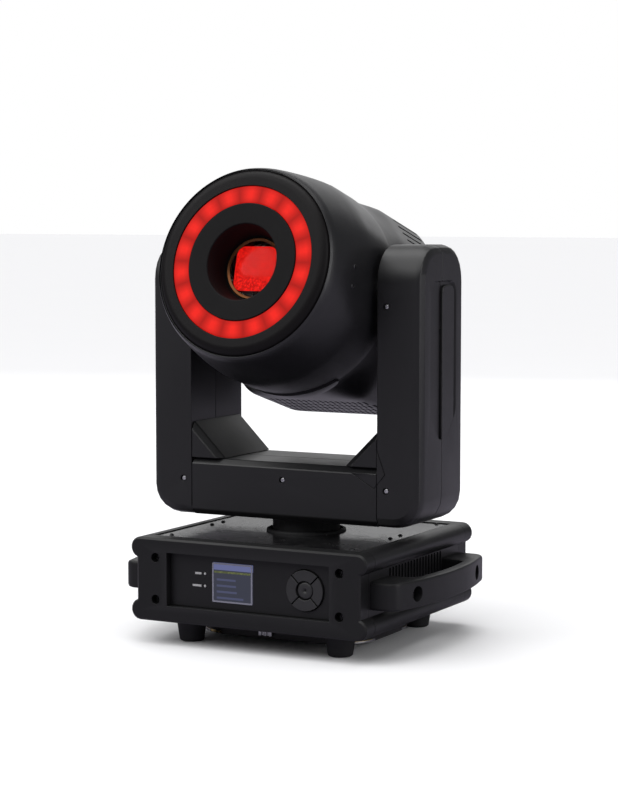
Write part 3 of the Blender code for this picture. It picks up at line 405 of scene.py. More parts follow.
@dataclass(frozen=True)
class Finish:
    """An opaque finish: a colour, its worn shade (also used for a painted highlight along sharp edges) and
    its dusty shade, its gloss and its relief.
    """

    name: str
    colour: Colour
    roughness: tuple[float, float]
    grain: Grain = Grain.MOULDED
    scale: float = 1500.0
    depth: float = 0.00004
    metallic: float = 0.0
    specular: float = 0.42
    coat: float = 0.0
    # The worn colour and its amount serve both the rub marks and a painted highlight that lightens sharp
    # edges.
    worn_and_sheen: Colour = (0.035, 0.035, 0.037)
    wear_and_sheen: float = 0.16
    dusty: Colour = (0.10, 0.098, 0.095)
    dust: float = 0.04

    def material(self) -> Material:
        """The finish as a material, built the first time it is asked for."""
        return bpy.data.materials.get(self.name) or self.build()

    def build(self) -> Material:
        """Builds the finish's node graph.

        Returns:
            A material that ends in one Principled shader.
        """
        made = bpy.data.materials.new(self.name)
        made.use_nodes = True
        graph = Graph(made.node_tree)
        shader = made.node_tree.nodes["Principled BSDF"]
        shader.inputs["Metallic"].default_value = self.metallic
        shader.inputs["Specular IOR Level"].default_value = self.specular
        shader.inputs["Coat Weight"].default_value = self.coat
        shader.inputs["Coat Roughness"].default_value = 0.12
        place = graph.add("TexCoord")
        where = place.outputs["Object"]
        marks = self.effect(graph, "handling", where, Scale=9.0)
        level = graph.add("SeparateXYZ")
        graph.join(place.outputs["Normal"], level.inputs[0])
        settled = self.effect(graph, "dust", where, Scale=60.0)
        graph.join(level.outputs["Z"], settled.inputs["Up"])
        self.colours(graph, shader, where, marks, settled)
        self.gloss(graph, shader, marks, settled)
        relief = self.effect(graph, self.grain.value, where, Scale=self.scale)
        bump = graph.add("Bump")
        bump.inputs["Distance"].default_value = self.depth
        graph.join(relief.outputs["Height"], bump.inputs["Height"])
        graph.join(bump.outputs[0], shader.inputs["Normal"])
        return made

    def effect(self, graph: Graph, name: str, where: NodeSocket, **values: float) -> Node:
        """A shared group placed in the finish's graph, with its values set.

        Args:
            graph: the finish's graph.
            name: the effect's name.
            where: the coordinates.
            values: plain values for its inputs.

        Returns:
            The placed group.
        """
        made = graph.add("Group", node_tree=SharedGroups.get(name))
        graph.join(where, made.inputs["Vector"])
        for key, value in values.items():
            made.inputs[key].default_value = value
        return made

    def colours(self, graph: Graph, shader: Node, where: NodeSocket, marks: Node, settled: Node) -> None:
        """Base colour: a faint mottle, rubbed spots, a painted highlight along sharp edges, and dust.

        Args:
            graph: the finish's graph.
            shader: the Principled shader.
            where: the coordinates.
            marks: the handling effect.
            settled: the dust effect.
        """
        deep = tuple(0.82 * c for c in self.colour)
        mottle = graph.blend(graph.noise(where, 35.0, 3.0), (*deep, 1), (*self.colour, 1))
        # Painted highlight: sharp edges, found by pointiness, are lightened toward the worn colour as if they
        # catch the light.
        edge = graph.add("NewGeometry").outputs["Pointiness"]
        bright = graph.remap(edge, 0.53, 0.62, 0.0, self.wear_and_sheen)
        rubbed = graph.maths("MULTIPLY", marks.outputs["Rub"], self.wear_and_sheen * 0.35)
        worn_and_sheen = graph.blend(graph.maths("MAXIMUM", bright, rubbed), mottle, (*self.worn_and_sheen, 1))
        cover = graph.maths("MULTIPLY", settled.outputs["Cover"], self.dust)
        graph.join(graph.blend(cover, worn_and_sheen, (*self.dusty, 1)), shader.inputs["Base Color"])

    def gloss(self, graph: Graph, shader: Node, marks: Node, settled: Node) -> None:
        """Roughness: between the two limits by the smudges, and duller under dust.

        Args:
            graph: the finish's graph.
            shader: the Principled shader.
            marks: the handling effect.
            settled: the dust effect.
        """
        smudged = graph.remap(marks.outputs["Smudge"], 0.0, 1.0, *self.roughness)
        dull = graph.maths("MULTIPLY", settled.outputs["Cover"], self.dust)
        graph.join(graph.maths("ADD", smudged, dull), shader.inputs["Roughness"])


@dataclass(frozen=True)
class Floor:
    """The studio floor: pale where it is looked at, dimmer where it shows in a gloss."""

    name: str
    pale: Colour
    dim: Colour

    def material(self) -> Material:
        """Builds the floor's material.

        Returns:
            The material.
        """
        made = bpy.data.materials.new(self.name)
        made.use_nodes = True
        graph = Graph(made.node_tree)
        shader = made.node_tree.nodes["Principled BSDF"]
        shader.inputs["Specular IOR Level"].default_value = 0.1
        where = graph.add("TexCoord").outputs["Object"]
        shade = graph.blend(
            graph.noise(where, 3.0, 2.0), (*(0.99 * c for c in self.pale), 1), (*self.pale, 1)
        )
        seen = graph.add("LightPath").outputs["Is Camera Ray"]
        graph.join(graph.blend(seen, (*self.dim, 1), shade), shader.inputs["Base Color"])
        graph.join(graph.remap(graph.noise(where, 8.0, 2.0), 0.3, 0.7, 0.8, 0.9), shader.inputs["Roughness"])
        return made


@dataclass(frozen=True)
class Glass:
    """Clear or coated glass."""

    name: str
    tint: Colour = (1.0, 1.0, 1.0)
    roughness: float = 0.02
    coat: float = 0.0
    bend: float = 1.45

    def material(self) -> Material:
        """The glass, built the first time it is asked for."""
        return bpy.data.materials.get(self.name) or self.build()

    def build(self) -> Material:
        """Builds clear glass with faint smears in its coating.

        Returns:
            The material.
        """
        made = bpy.data.materials.new(self.name)
        made.use_nodes = True
        graph = Graph(made.node_tree)
        shader = made.node_tree.nodes["Principled BSDF"]
        shader.inputs["Transmission Weight"].default_value = 1.0
        shader.inputs["IOR"].default_value = self.bend
        shader.inputs["Coat Weight"].default_value = self.coat
        where = graph.add("TexCoord").outputs["Object"]
        smear = graph.noise(graph.stretched(where, (1.0, 1.0, 0.3)), 60.0, 3.0)
        graph.join(
            graph.remap(smear, 0.3, 0.8, self.roughness, self.roughness + 0.05),
            shader.inputs["Roughness"],
        )
        tone = graph.remap(graph.noise(where, 30.0, 2.0), 0.3, 0.7, 0.0, 1.0)
        pale = tuple(0.97 * c for c in self.tint)
        graph.join(graph.blend(tone, (*pale, 1), (*self.tint, 1)), shader.inputs["Base Color"])
        return made


@dataclass(frozen=True)
class Glow:
    """A surface that shines, with a pattern worked out in its own plane."""

    name: str
    dim: Colour
    bright: Colour
    strength: float
    centre: Point
    tilt: float

    def material(self) -> Material:
        """The glow, built the first time it is asked for."""
        return bpy.data.materials.get(self.name) or self.build()

    def build(self) -> Material:
        """Builds the shader and its pattern.

        Returns:
            The material.
        """
        made = bpy.data.materials.new(self.name)
        made.use_nodes = True
        graph = Graph(made.node_tree)
        shader = made.node_tree.nodes["Principled BSDF"]
        shader.inputs["Roughness"].default_value = 0.5
        shader.inputs["Specular IOR Level"].default_value = 0.08
        shader.inputs["Emission Strength"].default_value = self.strength
        where = graph.add("Mapping", vector_type="TEXTURE")
        graph.join(graph.add("TexCoord").outputs["Object"], where.inputs["Vector"])
        where.inputs["Location"].default_value = self.centre
        where.inputs["Rotation"].default_value = (self.tilt, 0, 0)
        split = graph.add("SeparateXYZ")
        graph.join(where.outputs[0], split.inputs[0])
        share = self.pattern(graph, where.outputs[0], split.outputs["X"], split.outputs["Z"])
        shade = graph.blend(share, (*self.dim, 1), (*self.bright, 1))
        graph.join(shade, shader.inputs["Emission Color"])
        dark = graph.blend(share, (*(0.05 * c for c in self.dim), 1), (*(0.2 * c for c in self.dim), 1))
        graph.join(dark, shader.inputs["Base Color"])
        return made

    def pattern(self, graph: Graph, where: NodeSocket, across: NodeSocket, up: NodeSocket) -> NodeSocket:
        """The share of the bright colour at each place: here a soft mottle."""
        return graph.remap(graph.noise(where, 480.0, 3.0), 0.40, 0.68, 0.0, 1.0)


@dataclass(frozen=True)
class RingGlow(Glow):
    """The diffuser over a ring of lamps: a soft pool of light over each of them."""

    lamps: int = 18
    middle: float = 0.07
    half_width: float = 0.0089

    def pattern(self, graph: Graph, where: NodeSocket, across: NodeSocket, up: NodeSocket) -> NodeSocket:
        """Pools of light that repeat round the ring and fade to both rims.

        Args:
            graph: the glow's graph.
            where: coordinates in the ring's own frame.
            across: the place across the ring.
            up: the place up the ring.

        Returns:
            The share of the bright colour.
        """
        angle = graph.maths("ARCTAN2", up, across)
        turn = graph.maths("MULTIPLY", angle, self.lamps / math.tau)
        phase = graph.maths("FRACT", graph.maths("ADD", turn, float(self.lamps)))
        off = graph.maths("ABSOLUTE", graph.maths("SUBTRACT", phase, 0.5))
        pool = graph.remap(off, 0.08, 0.5, 1.0, 0.0)
        radius = graph.maths(
            "SQRT", graph.maths("ADD", graph.maths("POWER", up, 2.0), graph.maths("POWER", across, 2.0))
        )
        aside = graph.maths("ABSOLUTE", graph.maths("SUBTRACT", radius, self.middle))
        rim = graph.remap(aside, self.half_width * 0.35, self.half_width * 1.02, 1.0, 0.35)
        faint = graph.remap(graph.noise(where, 140.0, 2.0), 0.3, 0.7, 0.9, 1.0)
        return graph.maths("MULTIPLY", graph.maths("MULTIPLY", pool, rim), faint)


@dataclass(frozen=True)
class MenuGlow(Glow):
    """A small menu screen: a header bar, a rule and rows of plain bars, with no words."""

    size: tuple[float, float] = (0.044, 0.037)

    def pattern(self, graph: Graph, where: NodeSocket, across: NodeSocket, up: NodeSocket) -> NodeSocket:
        """Bars in rows below a header, over a faint raster.

        Args:
            graph: the glow's graph.
            where: not used.
            across: the place across the screen.
            up: the place up the screen.

        Returns:
            The share of the bright colour.
        """
        width, height = self.size
        down = graph.maths("DIVIDE", graph.maths("SUBTRACT", height / 2, up), height)
        along = graph.maths("DIVIDE", graph.maths("ADD", across, width / 2), width)
        header = graph.maths("LESS_THAN", down, 0.15)
        row = graph.maths("FRACT", graph.maths("MULTIPLY", down, 6.0))
        bar = graph.maths("COMPARE", row, 0.5)
        bar.node.inputs[2].default_value = 0.17
        length = graph.maths(
            "LESS_THAN", along, graph.maths("ADD", graph.noise(self.rows(graph, down), 1.0, 0.0), 0.05)
        )
        inside = graph.maths("GREATER_THAN", along, 0.08)
        bars = graph.maths("MULTIPLY", graph.maths("MULTIPLY", bar, length), inside)
        below = graph.maths("GREATER_THAN", down, 0.30)
        rows = graph.maths("MULTIPLY", graph.maths("MULTIPLY", bars, below), 0.30)
        raster = graph.remap(graph.maths("SINE", graph.maths("MULTIPLY", down, 700.0)), -1.0, 1.0, 0.93, 1.0)
        lit = graph.maths("MAXIMUM", graph.maths("MULTIPLY", header, 0.9), rows)
        return graph.maths("MULTIPLY", lit, raster)

    def rows(self, graph: Graph, down: NodeSocket) -> NodeSocket:
        """A place that is the same all along one row of the menu.

        Args:
            graph: the glow's graph.
            down: the place down the screen, from 0 to 1.

        Returns:
            The place, as coordinates for a noise.
        """
        step = graph.maths("FLOOR", graph.maths("MULTIPLY", down, 6.0))
        made = graph.add("CombineXYZ")
        graph.join(graph.maths("MULTIPLY", step, 3.7), made.inputs[0])
        return made.outputs[0]


class Finishes:
    """Every finish that the light uses, by what it is on."""

    shell = Finish("satin_shell", (0.0072, 0.0072, 0.0080), (0.36, 0.46), scale=2200.0, depth=0.00002)
    head = Finish("head_shell", (0.0066, 0.0065, 0.0078), (0.34, 0.42), scale=2400.0, depth=0.000015)
    base = Finish(
        "base_moulding", (0.0066, 0.0066, 0.0073), (0.38, 0.48), scale=1900.0, depth=0.00003,
        specular=0.28,
    )
    paint = Finish("powder_coat", (0.012, 0.012, 0.0125), (0.4, 0.52), Grain.CAST, 900.0, 0.00003)
    gloss = Finish(
        "lacquered_plate", (0.008, 0.008, 0.009), (0.15, 0.22), Grain.SMOOTH, 260.0, 0.00002,
        coat=0.35, dust=0.16,
    )
    rubber = Finish(
        "foot_rubber", (0.014, 0.014, 0.015), (0.62, 0.75), Grain.RUBBER, 1300.0, 0.00005, specular=0.35
    )
    keys = Finish("key_rubber", (0.020, 0.020, 0.021), (0.4, 0.5), Grain.RUBBER, 2600.0, 0.000015)
    steel = Finish(
        "brushed_steel", (0.52, 0.52, 0.54), (0.26, 0.38), Grain.BRUSHED, 2600.0, 0.00001, metallic=1.0,
        worn_and_sheen=(0.75, 0.75, 0.76), dust=0.03,
    )
    zinc = Finish(
        "zinc_plate", (0.42, 0.42, 0.43), (0.3, 0.45), Grain.CAST, 700.0, 0.00002, metallic=1.0,
        worn_and_sheen=(0.6, 0.6, 0.6), dust=0.04,
    )
    gilt = Finish(
        "passivated_edge", (0.72, 0.55, 0.24), (0.22, 0.34), Grain.BRUSHED, 2000.0, 0.00001, metallic=1.0,
        worn_and_sheen=(0.85, 0.72, 0.42), dust=0.03,
    )
    bronze = Finish(
        "lens_coating", (0.12, 0.045, 0.016), (0.22, 0.34), Grain.SMOOTH, 500.0, 0.00001, metallic=0.9,
        worn_and_sheen=(0.5, 0.3, 0.15), dust=0.0,
    )
    screw = Finish(
        "screw_steel", (0.60, 0.60, 0.62), (0.28, 0.4), Grain.CAST, 2500.0, 0.00001, metallic=1.0,
        worn_and_sheen=(0.80, 0.80, 0.81), wear_and_sheen=0.5, dust=0.02,
    )
    black_screw = Finish(
        "blackened_screw", (0.03, 0.03, 0.032), (0.3, 0.42), Grain.CAST, 2500.0, 0.00001, metallic=0.8,
        worn_and_sheen=(0.2, 0.2, 0.21), wear_and_sheen=0.4, dust=0.02,
    )
    dark = Finish(
        "dark_inside", (0.006, 0.006, 0.0065), (0.6, 0.75), Grain.CAST, 800.0, 0.00003, specular=0.25
    )
    alloy = Finish(
        "extruded_alloy", (0.55, 0.56, 0.58), (0.3, 0.42), Grain.BRUSHED, 1500.0, 0.00002, metallic=1.0,
        worn_and_sheen=(0.75, 0.75, 0.76), dust=0.05,
    )
    insert_blue = Finish(
        "power_in_blue", (0.01, 0.045, 0.22), (0.35, 0.45), scale=1800.0, depth=0.00002,
        worn_and_sheen=(0.05, 0.12, 0.3),
    )
    insert_grey = Finish(
        "power_out_grey", (0.20, 0.20, 0.21), (0.4, 0.5), scale=1800.0, depth=0.00002,
        worn_and_sheen=(0.35, 0.35, 0.36),
    )
    brass = Finish(
        "contact_brass", (0.75, 0.56, 0.25), (0.2, 0.3), Grain.BRUSHED, 3000.0, 0.00001, metallic=1.0,
        worn_and_sheen=(0.85, 0.72, 0.42), dust=0.0,
    )
    mark = Finish(
        "printed_mark", (0.45, 0.45, 0.45), (0.5, 0.6), Grain.SMOOTH, 900.0, 0.00001, wear_and_sheen=0.1,
        worn_and_sheen=(0.3, 0.3, 0.3), dust=0.02,
    )
    border = Finish(
        "window_border_paint", (0.24, 0.24, 0.30), (0.4, 0.5), Grain.SMOOTH, 900.0, 0.00001, wear_and_sheen=0.1,
        worn_and_sheen=(0.2, 0.2, 0.22), dust=0.02,
    )
    bezel = Finish(
        "bezel_black", (0.0070, 0.0062, 0.0066), (0.40, 0.50), scale=2400.0, depth=0.000015,
        specular=0.10, wear_and_sheen=0.0, dust=0.0,
    )
    well = Finish(
        "well_black", (0.0060, 0.0056, 0.0060), (0.5, 0.62), scale=1800.0, depth=0.00003, specular=0.10,
        wear_and_sheen=0.0, dust=0.0,
    )
    wire = Finish(
        "guard_wire", (0.02, 0.02, 0.021), (0.3, 0.4), Grain.CAST, 2200.0, 0.00001, metallic=0.6,
        worn_and_sheen=(0.1, 0.1, 0.1),
    )
    lens = Glass("lens_glass", (1.0, 0.97, 0.95), bend=1.15)


# ---------------------------------------------------------------------------------------------
# Shapes
# ---------------------------------------------------------------------------------------------


def block(low: Point, high: Point) -> BMesh:
    """A box between two corners.

    Args:
        low: its lowest corner.
        high: its highest corner.

    Returns:
        The closed shape.
    """
    shape = bmesh.new()
    bmesh.ops.create_cube(shape, size=1)
    size = [b - a for a, b in zip(low, high)]
    middle = [(a + b) / 2 for a, b in zip(low, high)]
    bmesh.ops.scale(shape, vec=size, verts=shape.verts[:])
    bmesh.ops.translate(shape, vec=middle, verts=shape.verts[:])
    return shape


def drum(radius: float, back: float, front: float, steps: int = 32, top: float | None = None) -> BMesh:
    """A cylinder or cone along -Y.

    Args:
        radius: its radius at the back.
        back: how far towards -Y it starts.
        front: how far towards -Y it ends.
        steps: its number of sides.
        top: its radius at the front, if that differs.

    Returns:
        The closed shape.
    """
    shape = bmesh.new()
    bmesh.ops.create_cone(
        shape, cap_ends=True, segments=steps, radius1=radius, depth=front - back,
        radius2=radius if top is None else top,
    )
    bmesh.ops.rotate(shape, verts=shape.verts[:], matrix=Matrix.Rotation(math.pi / 2, 3, "X"))
    bmesh.ops.translate(shape, verts=shape.verts[:], vec=(0, -(front + back) / 2, 0))
    return shape


def turned(profile: Sequence[tuple[float, float]], steps: int, closed: bool = True) -> BMesh:
    """Turns a profile about the Y axis.

    Args:
        profile: points as (radius, distance towards -Y).
        steps: the number of steps in the full turn.
        closed: whether the last point joins the first.

    Returns:
        The turned shape, with its poles and its seam merged.
    """
    shape = bmesh.new()
    line = [shape.verts.new((radius, -out, 0)) for radius, out in profile]
    pairs = list(zip(line, line[1:]))
    if closed:
        pairs.append((line[-1], line[0]))
    edges = [shape.edges.new(pair) for pair in pairs]
    bmesh.ops.spin(
        shape, geom=line + edges, cent=(0, 0, 0), axis=(0, 1, 0), angle=math.tau, steps=steps,
        use_merge=True,
    )
    bmesh.ops.remove_doubles(shape, verts=shape.verts[:], dist=MERGE)
    loose = [edge for edge in shape.edges if not edge.link_faces]
    bmesh.ops.delete(shape, geom=loose, context="EDGES")
    return shape


def rounded(
    profile: Sequence[tuple[float, float]], radii: dict[int, float], steps: int = 5
) -> list[tuple[float, float]]:
    """Rounds some corners of a closed profile.

    Args:
        profile: its corners in order.
        radii: how far from its corner each rounding starts, by the corner's place in the order.
        steps: the number of edges in each rounding.

    Returns:
        The profile's points with those corners rounded.
    """
    points: list[tuple[float, float]] = []
    for index, corner in enumerate(profile):
        if index not in radii:
            points.append(corner)
            continue
        middle = Vector(corner)
        before = Vector(profile[index - 1]) - middle
        after = Vector(profile[(index + 1) % len(profile)]) - middle
        start = middle + before.normalized() * radii[index]
        end = middle + after.normalized() * radii[index]
        for step in range(steps + 1):
            share = step / steps
            place = start.lerp(middle, share).lerp(middle.lerp(end, share), share)
            points.append((place.x, place.y))
    return points


def plate(outline: Sequence[tuple[float, float]], back: float, front: float) -> BMesh:
    """An outline in XZ given a thickness along -Y.

    Args:
        outline: its corners as (x, z).
        back: how far towards -Y it starts.
        front: how far towards -Y it ends.

    Returns:
        The closed shape.
    """
    shape = bmesh.new()
    face = shape.faces.new([shape.verts.new((x, -back, z)) for x, z in outline])
    made = bmesh.ops.extrude_face_region(shape, geom=[face])
    moved = [item for item in made["geom"] if isinstance(item, BMVert)]
    bmesh.ops.translate(shape, verts=moved, vec=(0, back - front, 0))
    bmesh.ops.recalc_face_normals(shape, faces=shape.faces[:])
    return shape


def oblong(half_width: float, half_height: float, radius: float, steps: int = 8) -> list[tuple[float, float]]:
    """The outline of a rectangle with round corners, in XZ.

    Args:
        half_width: half its width.
        half_height: half its height.
        radius: its corners' radius.
        steps: steps round each corner.

    Returns:
        The corners as (x, z).
    """
    points = []
    for quarter, (sx, sz) in enumerate(((1, 1), (-1, 1), (-1, -1), (1, -1))):
        for step in range(steps + 1):
            angle = math.pi / 2 * (quarter + step / steps)
            x = sx * (half_width - radius) + radius * math.cos(angle)
            z = sz * (half_height - radius) + radius * math.sin(angle)
            points.append((x, z))
    return points


def moved(shape: BMesh, matrix: Matrix) -> BMesh:
    """The shape after a move."""
    bmesh.ops.transform(shape, matrix=matrix, verts=shape.verts[:])
    return shape


def at(x: float, y: float, z: float) -> Matrix:
    """A shift."""
    return Matrix.Translation((x, y, z))


def turn(degrees: float, axis: str) -> Matrix:
    """A turn about one of the main axes."""
    return Matrix.Rotation(math.radians(degrees), 4, axis)


def joined(shapes: Iterable[BMesh]) -> BMesh:
    """Several shapes as one, each staying a body of its own.

    Args:
        shapes: the shapes, which are used up.

    Returns:
        One shape that holds them all.
    """
    whole = bmesh.new()
    for shape in shapes:
        part = bpy.data.meshes.new("part")
        shape.to_mesh(part)
        shape.free()
        whole.from_mesh(part)
        bpy.data.meshes.remove(part)
    return whole


def soften(shape: BMesh, width: float, steps: int = 2, least: float = CORNER_ANGLE) -> BMesh:
    """Rounds a shape's corners over.

    Args:
        shape: the shape.
        width: the width of the rounding.
        steps: the number of its segments.
        least: the smallest angle between faces that is rounded.

    Returns:
        The same shape.
    """
    edges = [e for e in shape.edges if len(e.link_faces) == 2 and e.calc_face_angle(0.0) > least]
    bmesh.ops.bevel(
        shape, geom=edges, offset=width, offset_type="OFFSET", segments=steps, profile=0.5,
        affect="EDGES", clamp_overlap=True, material=-1,
    )
    return shape


def copy_of(node: str) -> BMesh:
    """A merged copy of a fixed part's mesh, its flat faces made whole.

    Args:
        node: the fixed part's name.

    Returns:
        Its shape, with its loose triangles merged and flat faces joined.
    """
    shape = bmesh.new()
    shape.from_mesh(frame["nodes"][node].data)
    bmesh.ops.remove_doubles(shape, verts=shape.verts[:], dist=CAD_MERGE)
    bmesh.ops.dissolve_limit(
        shape, angle_limit=FLAT_ANGLE, verts=shape.verts[:], edges=shape.edges[:],
        use_dissolve_boundaries=False, delimit=set(),
    )
    return shape


def mesh_object(name: str, shape: BMesh) -> Object:
    """An object that holds a shape, linked to the scene.

    Args:
        name: the object's name.
        shape: its shape, which is used up.

    Returns:
        The new object, in the scene.
    """
    mesh = bpy.data.meshes.new(name)
    shape.to_mesh(mesh)
    shape.free()
    made = bpy.data.objects.new(name, mesh)
    bpy.context.scene.collection.objects.link(made)
    return made


def settled(made: Object) -> Object:
    """Puts the result of an object's modifiers in its mesh.

    Args:
        made: the object.

    Returns:
        The same object, now without modifiers.
    """
    result = bpy.data.meshes.new_from_object(made.evaluated_get(bpy.context.evaluated_depsgraph_get()))
    made.modifiers.clear()
    made.data = result
    return made


def carve(shape: BMesh, tools: Sequence[BMesh], operation: str = "DIFFERENCE") -> BMesh:
    """Takes closed shapes out of a closed shape, or adds them to it.

    Args:
        shape: the shape that is cut.
        tools: the shapes that cut it, clear of each other.
        operation: the Boolean operation's name.

    Returns:
        The cut shape, which takes the place of the first one.
    """
    target = mesh_object("carved", shape)
    tool = mesh_object("tool", joined(tools))
    modifier = target.modifiers.new("Cut", "BOOLEAN")
    modifier.operation = operation
    modifier.solver = "EXACT"
    modifier.object = tool
    settled(target)
    result = bmesh.new()
    result.from_mesh(target.data)
    bpy.data.objects.remove(tool, do_unlink=True)
    bpy.data.objects.remove(target, do_unlink=True)
    return result


def finished(
    name: str, shape: BMesh, finish: Finish | Glass | Glow, near: str, stands_for: Sequence[str] = (),
    sharp: float = SHARP_ANGLE,
) -> Object:
    """Makes a shape one named piece of the light.

    Args:
        name: the piece's name.
        shape: its mesh, in place.
        finish: what it is finished in.
        near: a fixed part that it moves with.
        stands_for: the fixed parts that it is shown in place of.
        sharp: the smallest angle between faces that is shaded as an edge.

    Returns:
        The piece.
    """
    bmesh.ops.remove_doubles(shape, verts=shape.verts[:], dist=MERGE)
    bmesh.ops.recalc_face_normals(shape, faces=shape.faces[:])
    made = mesh_object(name, shape)
    made.data.materials.clear()
    made.data.materials.append(finish.material())
    made.data.shade_smooth()
    made.data.set_sharp_from_angle(angle=sharp)
    weights = made.modifiers.new("Normals", "WEIGHTED_NORMAL")
    weights.keep_sharp = True
    weights.weight = 100
    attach(made, frame["nodes"][near]["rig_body"])
    if stands_for:
        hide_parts(*stands_for)
    log.info("%s: %d faces", name, len(made.data.polygons))
    return made


def refined(
    node: str, finish: Finish | Glass | Glow, width: float = 0.0008, tools: Sequence[BMesh] = (),
    steps: int = 2,
) -> Object:
    """Shows a fixed part with its corners rounded over and its small features cut.

    Args:
        node: the fixed part.
        finish: what it is finished in.
        width: the width of the rounded corners.
        tools: the shapes that are cut out of it.
        steps: the segments in each rounding.

    Returns:
        The piece that stands for the part.
    """
    shape = soften(copy_of(node), width, steps) if width else copy_of(node)
    if tools:
        shape = carve(shape, tools)
    return finished(node + "_skin", shape, finish, node, [node])


def dress(node: str, finish: Finish | Glass | Glow) -> None:
    """Gives a fixed part that is shown as it is its finish.

    Args:
        node: the fixed part's name.
        finish: its finish.
    """
    mesh = frame["nodes"][node].data
    mesh.materials.clear()
    mesh.materials.append(finish.material())


@dataclass(frozen=True)
class Screw:
    """A pan-head screw with a cross recess, seen from -Y, its head's seat at the origin."""

    radius: float = 0.0026
    height: float = 0.0014
    recess: float = 0.0009

    def shape(self) -> BMesh:
        """The screw's head and a short shank.

        Returns:
            One closed shape.
        """
        dome = rounded([(0, -0.004), (self.radius * 0.5, -0.004), (self.radius * 0.5, 0), (self.radius, 0),
                        (self.radius, self.height), (0, self.height)], {4: self.radius * 0.4})
        head = turned(dome, 20)
        bmesh.ops.recalc_face_normals(head, faces=head.faces[:])
        arm, slit = self.radius * 0.62, self.radius * 0.13
        floor, top = self.height - self.recess, self.height + 0.001
        across = block((-arm, -top, -slit), (arm, -floor, slit))
        upright = block((-slit, -top, -arm), (slit, -floor, arm))
        return carve(carve(head, [across]), [upright])

    def placed(self, places: Iterable[Matrix]) -> BMesh:
        """Copies of the screw, each with its recess at another angle.

        Args:
            places: where each screw goes.

        Returns:
            The screws as one shape.
        """
        return joined(
            moved(self.shape(), place @ turn(37.0 * index, "Y")) for index, place in enumerate(places)
        )


def surface(node: str, start: Point, way: Point) -> Vector:
    """Where a straight line first meets a fixed part.

    Args:
        node: the part.
        start: a point on the line.
        way: its direction.

    Returns:
        The point on the part.
    """
    tree = BVHTree.FromBMesh(copy_of(node))
    return tree.ray_cast(Vector(start), Vector(way).normalized())[0]


def mirrored(shape: BMesh) -> BMesh:
    """A shape moved to the other side of the YZ plane: the given shape itself, not a copy."""
    return moved(shape, Matrix.Diagonal((-1, 1, 1, 1)))


def groove(points: Sequence[tuple[float, float]], face: float, width: float, depth: float) -> list[BMesh]:
    """Cutting bars along a line in XZ, for a seam in a face that looks along -Y.

    Args:
        points: the line's points as (x, z).
        face: the face's place along Y.
        width: the seam's width.
        depth: the seam's depth.

    Returns:
        One bar for each run of the line.
    """
    bars = []
    for (x1, z1), (x2, z2) in zip(points, points[1:]):
        length = math.hypot(x2 - x1, z2 - z1)
        angle = math.degrees(math.atan2(x2 - x1, z2 - z1))
        bar = block((-width / 2, -0.002, -width / 2), (width / 2, depth, length + width / 2))
        bars.append(moved(bar, at(x1, face, z1) @ turn(angle, "Y")))
    return bars


# ---------------------------------------------------------------------------------------------
# Base
# ---------------------------------------------------------------------------------------------


@dataclass
class BaseHousing:
    """The base's end frames, sides, top plate and column."""

    corner: float = 0.0012
    screw_x: float = 0.1076
    screw_rise: float = 0.022
    screw_depth: float = 0.009
    plate_screw: Screw = Screw(0.0027, 0.0008, 0.0005)
    frame_screw: Screw = Screw(0.0042, 0.0024, 0.0014)
    plate_screws: tuple[tuple[float, float], ...] = (
        (0.1065, -0.101), (0.1075, -0.016), (0.1075, 0.008), (0.1065, 0.101), (0.045, 0.101),
    )

    def build(self) -> None:
        """Builds every piece of the base housing."""
        self.frames()
        self.sides()
        self.top()
        self.column()

    def frames(self) -> None:
        """The two end frames, with a screw at the bottom of each of their holes."""
        for node, way in (("front_frame", 1), ("rear_frame", -1)):
            refined(node, Finishes.base, self.corner, steps=3)
            low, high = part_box(node)
            middle = (low.z + high.z) / 2
            face = low.y if way > 0 else high.y
            place = at(0, face, middle) @ (Matrix.Identity(4) if way > 0 else turn(180, "Z"))
            spots = [
                (x, z)
                for x in (-self.screw_x, self.screw_x)
                for z in (-self.screw_rise, self.screw_rise)
            ]
            seats = [place @ at(x, self.screw_depth - GAP, z) for x, z in spots]
            finished(
                node + "_screws", self.frame_screw.placed(seats), Finishes.black_screw, node,
            )

    def sides(self) -> None:
        """The side panels: arched louvres, and a long seam above the lower rail."""
        for side in ("left", "right"):
            node = "side_panel_" + side
            low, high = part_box(node)
            turned_out = turn(90, "Z") if side == "right" else turn(-90, "Z")
            face = high.x if side == "right" else low.x
            ridge = block((low.y + 0.004, -0.004, -0.0006), (high.y - 0.004, 0.0009, 0.0006))
            seam = moved(ridge, at(face, 0, low.z + 0.0175) @ turned_out)
            refined(node, Finishes.base, 0.0004, [seam], steps=1)

    def top(self) -> None:
        """The lacquered top plate and its screws."""
        refined("base_top_plate", Finishes.gloss, 0.0005)
        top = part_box("base_top_plate")[1].z
        spots = [(side * x, y) for x, y in self.plate_screws for side in (-1, 1)]
        seats = [at(x, y, top) @ turn(-90, "X") for x, y in spots]
        finished(
            "top_plate_screws", self.plate_screw.placed(seats), Finishes.black_screw, "base_top_plate",
        )
        refined("base_chassis", Finishes.paint, 0.0004, steps=1)

    def column(self) -> None:
        """A dust seal round the pan column, on the top plate."""
        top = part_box("base_top_plate")[1].z
        radius = 0.0425
        lips = rounded(
            [(radius - 0.0035, 0), (radius, 0), (radius, 0.0022), (radius - 0.0035, 0.0032)],
            {2: 0.001, 3: 0.0008},
        )
        ring = moved(turned(lips, 96), at(0, 0, top) @ turn(-90, "X"))
        finished("pan_seal", ring, Finishes.rubber, "base_top_plate")


